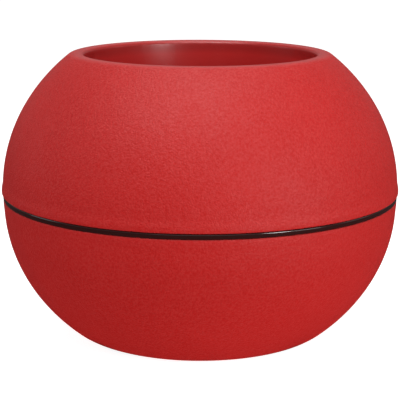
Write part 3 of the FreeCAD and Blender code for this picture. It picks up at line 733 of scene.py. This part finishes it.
def dome_inside():
    """Points of the collar, the ledge and the hidden side of the dome, down to its seat."""
    inside = inset(DOME, WALL)
    under_z = LEDGE_Z - WALL
    roof_z = RIM_Z - WALL
    seat_top_z = SEAT_Z + WALL
    top_angle = ellipse_angle(inside, roof_z)
    seat_angle = ellipse_angle(inside, seat_top_z)
    ledge = [(MOUTH_LOW_R, LEDGE_Z), (LEDGE_HOLE_R, LEDGE_Z)]
    ledge += [(LEDGE_HOLE_R, under_z), (COLLAR_OUT_R, under_z)]
    points = run((MOUTH_R, RIM_Z - LIP_INNER_ROUND), (MOUTH_LOW_R, LEDGE_Z), COLLAR_STEP)
    points += round_corners(ledge, [LEDGE_ROUND, LEDGE_ROUND])
    points += run((COLLAR_OUT_R, under_z), (COLLAR_OUT_R, roof_z), HIDDEN_STEP)[1:]
    points += run((COLLAR_OUT_R, roof_z), on_ellipse(inside, top_angle), ROOF_STEP)
    points += ellipse_run(inside, top_angle, seat_angle, HIDDEN_STEP)
    points.append(on_ellipse(inside, seat_angle))
    points += [Vector((SEAT_IN_R, seat_top_z)), Vector((SEAT_IN_R, SEAT_Z))]
    points.append(on_ellipse(inside, ellipse_angle(inside, SEAT_Z)))
    return points


def upper_outline():
    """Closed outline of the upper shell with a grain value for each point."""
    t_lip, lip_centre = corner_round(DOME, RIM_Z, LIP_OUTER_ROUND)
    skin = dome_skin(t_lip)
    lip = arc(lip_centre, LIP_OUTER_ROUND, normal_angle(DOME, t_lip), QUARTER, LIP_STEPS)[:-1]
    lip += run((lip_centre.x, RIM_Z), (LIP_FLAT_R, RIM_Z), LIP_STEP)
    bend = arc((LIP_FLAT_R, RIM_Z - LIP_INNER_ROUND), LIP_INNER_ROUND, QUARTER, math.pi, LIP_STEPS)[:-1]
    hidden = dome_inside()

    fade_width = lip[0].x - LIP_FLAT_R
    grain = [1.0] * len(skin)
    for p in lip:
        fade = max(0.0, (p.x - LIP_FLAT_R) / fade_width)
        grain.append(LIP_GRAIN + (1 - LIP_GRAIN) * fade**GRAIN_FADE)
    grain += [LIP_GRAIN * (1 - k / LIP_STEPS) for k in range(LIP_STEPS)]
    grain += [0.0] * len(hidden)
    return skin + lip + bend + hidden, grain


def bowl_skin(t_seam, seam_centre):
    """Points of the bowl from the drain hole, over the foot and up to the slot."""
    t_foot, foot_centre = corner_round(BOWL, FOOT_Z, FOOT_ROUND)
    recess_z = FOOT_Z + RECESS_DEPTH
    points = run((DRAIN_R, recess_z), (RECESS_R, recess_z), FOOT_STEP)
    points += run((RECESS_R, recess_z), (RECESS_R, FOOT_Z), RECESS_STEP)
    points += run((RECESS_R, FOOT_Z), (foot_centre.x, FOOT_Z), FOOT_STEP)
    points += arc(foot_centre, FOOT_ROUND, -QUARTER, normal_angle(BOWL, t_foot), FOOT_ROUND_STEPS)[:-1]
    skin = ellipse_run(BOWL, t_foot, t_seam, SHELL_STEP)
    skin += arc(seam_centre, SLOT_EDGE_ROUND, 0.0, QUARTER, SLOT_ROUND_STEPS)
    return points + swollen(skin, LOWER_SKIRT_PROUD)


def bowl_inside(seam_r):
    """Points of the tongue and the hidden side of the bowl, down to the drain hole."""
    inside = inset(BOWL, WALL)
    round_in = FOOT_ROUND - WALL
    floor_z = FOOT_Z + WALL
    boss_z = floor_z + DRAIN_BOSS_HEIGHT
    tongue_high_z = JOINT_Z + TONGUE_RISE
    tongue_low_z = JOINT_Z - TONGUE_DEPTH
    t_round, centre = corner_round(inside, floor_z, round_in)
    points = run((seam_r, SLOT_LOW_Z), (TONGUE_OUT_R, SLOT_LOW_Z), COLLAR_STEP)[1:]
    points += [Vector((TONGUE_OUT_R, SLOT_LOW_Z)), Vector((TONGUE_OUT_R, tongue_high_z))]
    points += [Vector((TONGUE_IN_R, tongue_high_z)), Vector((TONGUE_IN_R, tongue_low_z))]
    points += ellipse_run(inside, ellipse_angle(inside, tongue_low_z), t_round, HIDDEN_STEP)
    points += arc(centre, round_in, normal_angle(inside, t_round), -QUARTER, FLOOR_ROUND_STEPS)
    points += run((centre.x, floor_z), (DRAIN_BOSS_R, floor_z), INNER_FLOOR_STEP)[1:]
    boss = [(DRAIN_BOSS_R, floor_z), (DRAIN_BOSS_R, boss_z), (DRAIN_R, boss_z)]
    points += round_corners(boss, [DRAIN_BOSS_ROUND])
    return points


def lower_outline():
    """Closed outline of the lower shell with a grain value for each point."""
    t_seam, seam_centre = corner_round(BOWL, SLOT_LOW_Z, SLOT_EDGE_ROUND)
    skin = bowl_skin(t_seam, seam_centre)
    hidden = bowl_inside(seam_centre.x)
    return skin + hidden, [1.0] * len(skin) + [0.0] * len(hidden)


def uneven(v, grain):
    """Place of a vertex of the skin once the unevenness of the moulding is added."""
    slow = noise.noise(v.co * SLOW_SCALE + SLOW_OFFSET)
    middle = noise.noise(v.co * MIDDLE_SCALE + MIDDLE_OFFSET)
    fold = noise.noise(v.co * FOLD_SCALE)
    grained = SLOW_DEPTH * slow + MIDDLE_DEPTH * middle + FOLD_DEPTH * fold
    shift = grained * grain + SMOOTH_DEPTH * slow * (1 - grain)
    return v.co + v.normal * shift * MM


def shell_mesh(name, outline, grain, extra=()):
    """Turned shell with an uneven skin and a grain value at each vertex; extra parts stay even."""
    skin_data = lathe_data(outline, BALL_SEGMENTS)
    skin_size = len(skin_data[0])
    verts, faces = join_data([skin_data, *extra])
    mesh = bpy.data.meshes.new(name)
    mesh.from_pydata([(a * MM, b * MM, c * MM) for a, b, c in verts], [], faces)
    bm = bmesh.new()
    bm.from_mesh(mesh)
    bmesh.ops.recalc_face_normals(bm, faces=bm.faces)
    bm.to_mesh(mesh)
    bm.free()
    mesh.update()

    skin_grain = [grain[i % len(outline)] for i in range(skin_size)]
    layer = mesh.attributes.new("grain", "FLOAT", "POINT")
    layer.data.foreach_set("value", skin_grain + [0.0] * (len(mesh.vertices) - skin_size))
    places = [uneven(v, value) for v, value in zip(mesh.vertices, skin_grain)]
    for v, place in zip(mesh.vertices, places):
        v.co = place
    smooth_by_angle(mesh, 40.0)
    return mesh


def rib_data(turn):
    """Flat web between the collar and the dome."""
    inside = inset(DOME, WALL - RIB_BITE)
    top_z = RIM_Z - WALL + RIB_BITE
    low, high = ellipse_angle(inside, LEDGE_Z), ellipse_angle(inside, top_z)
    outline = [(RIB_IN_R, LEDGE_Z)]
    outline += [tuple(on_ellipse(inside, low + (high - low) * k / RIB_STEPS)) for k in range(RIB_STEPS + 1)]
    outline.append((RIB_IN_R, top_z))
    count = len(outline)
    rot = Matrix.Rotation(turn, 3, "Z")
    verts = []
    for y in (-RIB_HALF_WIDTH, RIB_HALF_WIDTH):
        verts += [tuple(rot @ Vector((r, y, z))) for r, z in outline]
    faces = [tuple(range(count)), tuple(range(2 * count - 1, count - 1, -1))]
    for k in range(count):
        j = (k + 1) % count
        faces.append((k, k + count, j + count, j))
    return verts, faces


def upper_extras():
    """Ribs round the collar and the snap hooks, both hidden between the walls."""
    parts = [rib_data(math.radians(RIB_FIRST_TURN + 360 / RIB_COUNT * k)) for k in range(RIB_COUNT)]
    for k in range(HOOK_COUNT):
        turn = math.radians(HOOK_FIRST_TURN + 360 / HOOK_COUNT * k)
        arm_middle = (HOOK_ARM_R, 0, (HOOK_ARM_HIGH_Z + HOOK_ARM_LOW_Z) / 2)
        parts.append(box_data(HOOK_ARM_SIZE, arm_middle, turn))
        parts.append(box_data(HOOK_BARB_SIZE, (HOOK_BARB_R, 0, HOOK_BARB_Z), turn))
    return parts


def band_data():
    """Thin strip round the joint, open by a narrow gap at the back."""
    low = SLOT_LOW_Z + BAND_CLEAR
    high = SLOT_HIGH_Z - BAND_CLEAR
    outline = [Vector((BAND_IN_R, low))]
    outline += arc((BAND_FACE_R - BAND_LOW_ROUND, low + BAND_LOW_ROUND), BAND_LOW_ROUND, -QUARTER, 0.0, 6)
    outline += arc((BAND_FACE_R - BAND_TOP_ROUND, high - BAND_TOP_ROUND), BAND_TOP_ROUND, 0.0, QUARTER, 12)
    outline.append(Vector((BAND_IN_R, high)))
    gap = BAND_BUTT_GAP / 2 / BAND_IN_R
    return lathe_data(outline, BALL_SEGMENTS, QUARTER + gap, QUARTER - gap + 2 * math.pi)


def pad_outline():
    """Rubber pad with shallow grip rings on its sole."""
    deep = PAD_GROOVE_DEPTH
    points = [Vector((PAD_CENTRE_R, deep))]
    for r in PAD_RING_STARTS:
        end = r + PAD_RING_WIDTH
        ring = [(r, deep), (r + PAD_RING_SLOPE, 0.0), (end - PAD_RING_SLOPE, 0.0), (end, deep)]
        points += [Vector(p) for p in ring]
    points += [Vector((PAD_OUTER_RING, deep)), Vector((PAD_OUTER_RING + PAD_RING_SLOPE, 0.0))]
    points += arc((PAD_R - PAD_EDGE_ROUND, PAD_EDGE_ROUND), PAD_EDGE_ROUND, -QUARTER, 0.0, 4)
    points += [Vector((PAD_R, PAD_TOP_Z)), Vector((PAD_CENTRE_R, PAD_TOP_Z))]
    return points


def pads_data():
    """The rubber pads in their circle under the foot."""
    outline = pad_outline()
    turns = [math.radians(PAD_FIRST_TURN + 360 / PAD_COUNT * k) for k in range(PAD_COUNT)]
    return join_data(
        [
            lathe_data(outline, PAD_SEGMENTS, x=PAD_CIRCLE_R * math.cos(a), y=PAD_CIRCLE_R * math.sin(a))
            for a in turns
        ]
    )


def build_ball():
    """Both shells, the band between them and the pads under the foot."""
    outline, grain = upper_outline()
    mesh = shell_mesh("upper_ball", outline, grain, upper_extras())
    add_piece("upper_ball", mesh, "ball", "red_shell", "upper_shell")
    outline, grain = lower_outline()
    add_piece("lower_ball", shell_mesh("lower_ball", outline, grain), "ball", "red_shell", "lower_shell")
    add_piece("trim_band", mesh_from("trim_band", band_data(), 50.0), "ball", "black_band", "joint_band")
    add_piece("ring_pads", mesh_from("ring_pads", pads_data(), 40.0), "ball", "black_rubber", "foot_pads")


# ---- Inner pot and handles -----------------------------------------------------------------------
def pot_r(z, depth=0.0):
    """Radius of the pot's wall at height z, depth in from its outside."""
    share = (z - POT_LOW_Z) / (FLANGE_HIGH_Z - POT_LOW_Z)
    return POT_LOW_R + (POT_HIGH_R - POT_LOW_R) * share - depth


def pot_outline():
    """Closed outline of the pot: up the outside, over the flange, down past the bead to the floor."""
    outside = round_corners(
        [
            (SEAL_NECK_R, POT_FLOOR_Z),
            (SEAL_NECK_R, POT_LOW_Z),
            (POT_LOW_R, POT_LOW_Z),
            (pot_r(FLANGE_LOW_Z), FLANGE_LOW_Z),
            (FLANGE_R, FLANGE_LOW_Z),
            (FLANGE_R, FLANGE_HIGH_Z),
            (pot_r(FLANGE_HIGH_Z, POT_WALL), FLANGE_HIGH_Z),
            (pot_r(BEAD_Z + BEAD_TOP, POT_WALL), BEAD_Z + BEAD_TOP),
        ],
        [0.3, POT_FOOT_ROUND, 0.5, 0.5, 0.8, 0.8],
        8,
    )
    bead_r = pot_r(BEAD_Z, POT_WALL)
    inside = round_corners(
        [
            (bead_r - BEAD_PROUD, BEAD_Z + BEAD_FLAT),
            (bead_r - BEAD_PROUD, BEAD_Z),
            (bead_r, BEAD_Z),
            (pot_r(POT_FLOOR_Z, POT_WALL), POT_FLOOR_Z),
            (SEAL_NECK_R, POT_FLOOR_Z),
        ],
        [0.2, 0.0, POT_FOOT_ROUND - POT_WALL],
        6,
    )
    line = outside + inside
    points = []
    for a, b in zip(line, line[1:]):
        points += run(a, b, POT_STEP)
    return points


def lug_rings():
    """Outer and inner edge of a lug, seen from its side: a round eye with a square root on the flange."""
    root = HANDLE_AXIS_Z - LUG_ROOT_Z
    outer, inner = [], []
    for k in range(LUG_STEPS):
        a = 2 * math.pi * k / LUG_STEPS
        ca, sa = math.cos(a), math.sin(a)
        grow = 1.0
        if sa < 0:
            grow = min(1 / max(abs(ca), 1e-6), root / KNUCKLE_R / max(abs(sa), 1e-6))
        outer.append((KNUCKLE_R * ca * grow, KNUCKLE_R * sa * grow))
        inner.append((LUG_BORE_R * ca, LUG_BORE_R * sa))
    return outer, inner


def lug_data(side_x, side_y):
    """Bearing lug of a handle, with chamfered edges."""
    outer, inner = lug_rings()
    x_a, x_b = side_x * LUG_IN_X, side_x * LUG_OUT_X
    chamfered = 1.0 - LUG_CHAMFER / KNUCKLE_R
    rings = (
        (x_a, inner, 1.0),
        (x_a, outer, chamfered),
        (x_a + side_x * LUG_CHAMFER, outer, 1.0),
        (x_b - side_x * LUG_CHAMFER, outer, 1.0),
        (x_b, outer, chamfered),
        (x_b, inner, 1.0),
    )
    verts, faces = [], []
    for x, ring, scale in rings:
        verts += [(x, side_y * HANDLE_AXIS_Y + y * scale, HANDLE_AXIS_Z + z * scale) for y, z in ring]
    for r in range(len(rings)):
        s = (r + 1) % len(rings)
        for k in range(LUG_STEPS):
            j = (k + 1) % LUG_STEPS
            faces.append((r * LUG_STEPS + k, r * LUG_STEPS + j, s * LUG_STEPS + j, s * LUG_STEPS + k))
    return verts, faces


def grip_radius(a):
    """Radius of the handle's rod at angle a of its arc: thicker and finger-waved at the grip."""
    blend = smooth_step((GRIP_HALF_ANGLE - abs(a)) / GRIP_BLEND_ANGLE)
    wave = GRIP_WAVE * math.cos(a / GRIP_HALF_ANGLE * GRIP_WAVES * 2 * math.pi)
    return HANDLE_ROD_R + (GRIP_R - GRIP_WAVE - HANDLE_ROD_R + wave) * blend


def handle_data(side):
    """Bail with its knuckles and trunnions, swept along its arms and arc."""
    arm = [(-ARM_X, HANDLE_AXIS_Y), (-ARM_X, ARM_Y - HANDLE_CORNER)]
    path, radii = list(arm), [HANDLE_ROD_R, HANDLE_ROD_R]
    for k in range(HANDLE_STEPS + 1):
        a = -HANDLE_HALF_ANGLE + 2 * HANDLE_HALF_ANGLE * k / HANDLE_STEPS
        if abs(a) < HANDLE_HALF_ANGLE - HANDLE_CORNER_ANGLE:
            path.append((HANDLE_ARC_R * math.sin(a), HANDLE_ARC_R * math.cos(a)))
            radii.append(grip_radius(a))
    path += [(-x, y) for x, y in reversed(arm)]
    radii += [HANDLE_ROD_R, HANDLE_ROD_R]
    parts = [tube_data([(x, side * y, HANDLE_AXIS_Z) for x, y in path], radii, HANDLE_SIDES)]
    for end in (-1, 1):
        centre = Vector((end * ARM_X, side * HANDLE_AXIS_Y, HANDLE_AXIS_Z))
        half = Vector((end * KNUCKLE_LENGTH / 2, 0, 0))
        tip = Vector((end * (LUG_OUT_X - LUG_GAP), centre.y, centre.z))
        parts.append(rod_data(centre - half, centre + half, KNUCKLE_R, KNUCKLE_EDGE))
        parts.append(rod_data(centre, tip, TRUNNION_R, TRUNNION_EDGE))
    return join_data(parts)


def build_pot():
    """The inner pot with its lugs, and the two handles that turn in them."""
    parts = [lathe_data(pot_outline(), POT_SEGMENTS)]
    parts += [lug_data(side_x, side_y) for side_x in (-1, 1) for side_y in (-1, 1)]
    mesh = mesh_from("planting_pot", join_data(parts), 35.0)
    add_piece("planting_pot", mesh, "pot", "black_pot", "inner_pot")
    for side, body, node in ((-1, "front_handle", "handle_front"), (1, "back_handle", "handle_back")):
        mesh = mesh_from(f"bail_{body}", handle_data(side), 40.0)
        add_piece(f"bail_{body}", mesh, body, "handle_plastic", node)


# ---- Pieces kept from the CAD, with their edges broken -------------------------------------------
FITTINGS = (
    # CAD node, body, material, width of the broken edge in millimetres, name
    ("drain_plug", "plug", "black_rubber", 0.4, "bung"),
    ("separator_plate", "pot", "grey_plastic", 0.3, "false_bottom"),
    ("wick_cups", "pot", "grey_plastic", 0.25, "soil_cups"),
    ("fill_tube", "pot", "grey_plastic", 0.3, "filler_pipe"),
    ("fill_cap", "filler_cap", "cap_plastic", 0.35, "filler_lid"),
    ("fill_cap_pin", "pot", "pin_steel", 0.2, "lid_pin"),
    ("gauge_tube", "pot", "grey_plastic", 0.25, "float_guide"),
    ("gauge_window", "pot", "clear_plastic", 0.2, "sight_cap"),
    ("gauge_float", "float", "float_foam", 0.5, "foam_float"),
    ("gauge_rod", "float", "rod_white", 0.2, "float_rod"),
    ("gauge_tip", "float", "tip_red", 0.3, "level_marker"),
    ("overflow_tube", "pot", "grey_plastic", 0.25, "standpipe"),
    ("overflow_seal", "pot", "black_rubber", 0.2, "grommet"),
)
MERGE_DISTANCE = 2e-6
FLAT_ANGLE = math.radians(1.0)
EDGE_ANGLE = math.radians(38)


def dressed_mesh(node, width):
    """Copy of a CAD node's mesh with its sharp edges broken."""
    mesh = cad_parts[node].data.copy()
    if "custom_normal" in mesh.attributes:
        mesh.attributes.remove(mesh.attributes["custom_normal"])
    bm = bmesh.new()
    bm.from_mesh(mesh)
    bmesh.ops.remove_doubles(bm, verts=bm.verts, dist=MERGE_DISTANCE)
    bmesh.ops.dissolve_limit(bm, angle_limit=FLAT_ANGLE, verts=bm.verts, edges=bm.edges)
    bmesh.ops.recalc_face_normals(bm, faces=bm.faces)
    sharp = [e for e in bm.edges if len(e.link_faces) == 2 and e.calc_face_angle() > EDGE_ANGLE]
    bmesh.ops.bevel(
        bm, geom=sharp, offset=width * MM, segments=2, profile=0.5, affect="EDGES", clamp_overlap=True
    )
    bmesh.ops.triangulate(bm, faces=[f for f in bm.faces if len(f.verts) > 4])
    bm.to_mesh(mesh)
    bm.free()
    mesh.materials.clear()
    smooth_by_angle(mesh, 32.0)
    return mesh


def build_fittings():
    """The bung and the watering set."""
    for node, body, slot_name, width, name in FITTINGS:
        add_piece(name, dressed_mesh(node, width), body, slot_name, node)


# ---- Floor, light and camera ---------------------------------------------------------------------
FLOOR_REACH = 12.0
FLOOR_DROP = 0.0003  # keeps the floor just under the pads
FLOOR_PALE = ((0.60, 0.60, 0.60), (0.62, 0.62, 0.62))
FLOOR_SEEN_GLOW = 0.92
FLOOR_UNSEEN = (0.06, 0.06, 0.06)  # colour for every ray that is not from the camera

LIGHTS = {
    # name: (azimuth, elevation, distance, width, height, power in watts, colour); azimuth 0 is the front
    "overhead": (0, 88, 1.6, 1.2, 1.2, 8.0, (1.0, 1.0, 1.0)),
    "front_top": (-8, 66, 1.6, 0.7, 0.5, 5.6, (1.0, 1.0, 1.0)),
    "front_left": (-40, 58, 1.6, 0.7, 0.6, 6.7, (0.98, 0.99, 1.0)),
    "front_right": (35, 62, 1.6, 0.7, 0.6, 3.0, (1.0, 1.0, 1.0)),
    "low_right": (58, 3, 1.6, 0.45, 0.36, 1.9, (1.0, 1.0, 1.0)),
    "mid_right": (41, 9, 1.6, 0.36, 0.4, 8.5, (1.0, 1.0, 1.0)),
    "far_left": (-95, 15, 1.7, 0.6, 1.0, 1.6, (0.94, 0.96, 1.0)),
    "far_right": (95, 20, 1.7, 0.6, 1.0, 1.0, (1.0, 1.0, 1.0)),
    "back": (180, 50, 1.7, 1.2, 0.8, 3.0, (0.97, 0.98, 1.0)),
    "front_middle": (0, 20, 2.6, 2.4, 0.5, 3.4, (1.0, 1.0, 1.0)),
}
AIM_Z = 0.15
WORLD_LIGHT = 0.25
WORLD_REFLECTED = 0.24
WORLD_SEEN = 1.05

# Light thrown up by the pale floor, in tiles that leave out the shaded spot under the ball.
BOUNCE_REACH = 2.5
BOUNCE_HOLE = 0.10
BOUNCE_POWER = 3.0  # watts for each square metre
BOUNCE_Z = 0.001
BOUNCE_MIDDLE = (BOUNCE_REACH + BOUNCE_HOLE) / 2
BOUNCE_DEPTH = BOUNCE_REACH - BOUNCE_HOLE
BOUNCE_TILES = {
    # name: (x, y, width, depth)
    "bounce_front": (0.0, -BOUNCE_MIDDLE, 2 * BOUNCE_REACH, BOUNCE_DEPTH),
    "bounce_back": (0.0, BOUNCE_MIDDLE, 2 * BOUNCE_REACH, BOUNCE_DEPTH),
    "bounce_left": (-BOUNCE_MIDDLE, 0.0, BOUNCE_DEPTH, 2 * BOUNCE_HOLE),
    "bounce_right": (BOUNCE_MIDDLE, 0.0, BOUNCE_DEPTH, 2 * BOUNCE_HOLE),
}

CAMERA_PLACE = (0.0, -1.3245, 0.4282)
CAMERA_LENS = 118.87
CAMERA_SENSOR = 36.0
CAMERA_DOWN = 12.494  # degrees below level
CAMERA_ROLL = 0.14


def floor_material():
    """Pale floor that glows for the camera and stays dim in every reflection."""
    n = Nodes("floor_white")
    seen = n.add("ShaderNodeLightPath").outputs["Is Camera Ray"]
    pale = n.mix(n.noise(3.0, 2.0), *FLOOR_PALE)
    diffuse = n.add("ShaderNodeBsdfDiffuse")
    n.put(diffuse.inputs["Color"], n.mix(seen, FLOOR_UNSEEN, pale))
    glow = n.add("ShaderNodeEmission")
    n.put(glow.inputs["Strength"], n.times(seen, FLOOR_SEEN_GLOW))
    both = n.add("ShaderNodeAddShader")
    n.link(diffuse.outputs[0], both.inputs[0])
    n.link(glow.outputs[0], both.inputs[1])
    n.link(both.outputs[0], n.out.inputs["Surface"])
    return n.material


def build_floor():
    """Wide flat floor."""
    r = FLOOR_REACH
    mesh = bpy.data.meshes.new("floor")
    mesh.from_pydata([(-r, -r, 0), (r, -r, 0), (r, r, 0), (-r, r, 0)], [], [(0, 1, 2, 3)])
    mesh.materials.append(floor_material())
    floor = bpy.data.objects.new("floor", mesh)
    bpy.context.scene.collection.objects.link(floor)
    floor.location.z = -FLOOR_DROP


def area_lamp(name, width, height, power):
    """Rectangular lamp at the origin that shines down."""
    data = bpy.data.lights.new(name, "AREA")
    data.shape = "RECTANGLE"
    data.size = width
    data.size_y = height
    data.energy = power
    lamp = bpy.data.objects.new(name, data)
    bpy.context.scene.collection.objects.link(lamp)
    return lamp


def build_lamps():
    """Soft boxes that all aim at the middle of the ball."""
    for name, (azimuth, elevation, distance, width, height, power, colour) in LIGHTS.items():
        lamp = area_lamp(name, width, height, power)
        lamp.data.color = colour
        turn, rise = math.radians(azimuth), math.radians(elevation)
        away = Vector((math.cos(rise) * math.sin(turn), -math.cos(rise) * math.cos(turn), math.sin(rise)))
        lamp.location = Vector((0, 0, AIM_Z)) + distance * away
        lamp.rotation_euler = (-away).to_track_quat("-Z", "Y").to_euler()


def build_bounce():
    """Lamps at floor level that shine up and can't be seen, mirrored or looked through."""
    for name, (x, y, width, depth) in BOUNCE_TILES.items():
        lamp = area_lamp(name, width, depth, BOUNCE_POWER * width * depth)
        lamp.data.cycles.use_multiple_importance_sampling = False
        lamp.location = (x, y, BOUNCE_Z)
        lamp.rotation_euler.x = math.pi
        lamp.visible_camera = False
        lamp.visible_glossy = False
        lamp.visible_transmission = False


def build_world():
    """White surround with its own strength for what it lights, what is mirrored and what is seen."""
    world = bpy.data.worlds.new("studio")
    bpy.context.scene.world = world
    world.use_nodes = True
    tree = world.node_tree
    tree.nodes.clear()
    out = tree.nodes.new("ShaderNodeOutputWorld")
    path = tree.nodes.new("ShaderNodeLightPath")

    def glow(strength):
        light = tree.nodes.new("ShaderNodeBackground")
        light.inputs["Color"].default_value = (1.0, 1.0, 1.0, 1.0)
        light.inputs["Strength"].default_value = strength
        return light

    last = glow(WORLD_LIGHT)
    for ray, strength in (("Is Glossy Ray", WORLD_REFLECTED), ("Is Camera Ray", WORLD_SEEN)):
        mixer = tree.nodes.new("ShaderNodeMixShader")
        tree.links.new(path.outputs[ray], mixer.inputs[0])
        tree.links.new(last.outputs[0], mixer.inputs[1])
        tree.links.new(glow(strength).outputs[0], mixer.inputs[2])
        last = mixer
    tree.links.new(last.outputs[0], out.inputs["Surface"])


def build_camera():
    """Long lens from the front, looking slightly down."""
    data = bpy.data.cameras.new("camera")
    data.lens = CAMERA_LENS
    data.sensor_width = CAMERA_SENSOR
    camera = bpy.data.objects.new("camera", data)
    bpy.context.scene.collection.objects.link(camera)
    camera.location = CAMERA_PLACE
    pitch = Matrix.Rotation(math.radians(90 - CAMERA_DOWN), 3, "X")
    roll = Matrix.Rotation(math.radians(CAMERA_ROLL), 3, "Z")
    camera.rotation_euler = (pitch @ roll).to_euler()
    bpy.context.scene.camera = camera
    bpy.context.scene.view_settings.view_transform = "Standard"


build_ball()
build_pot()
build_fittings()
build_floor()
build_lamps()
build_bounce()
build_world()
build_camera()
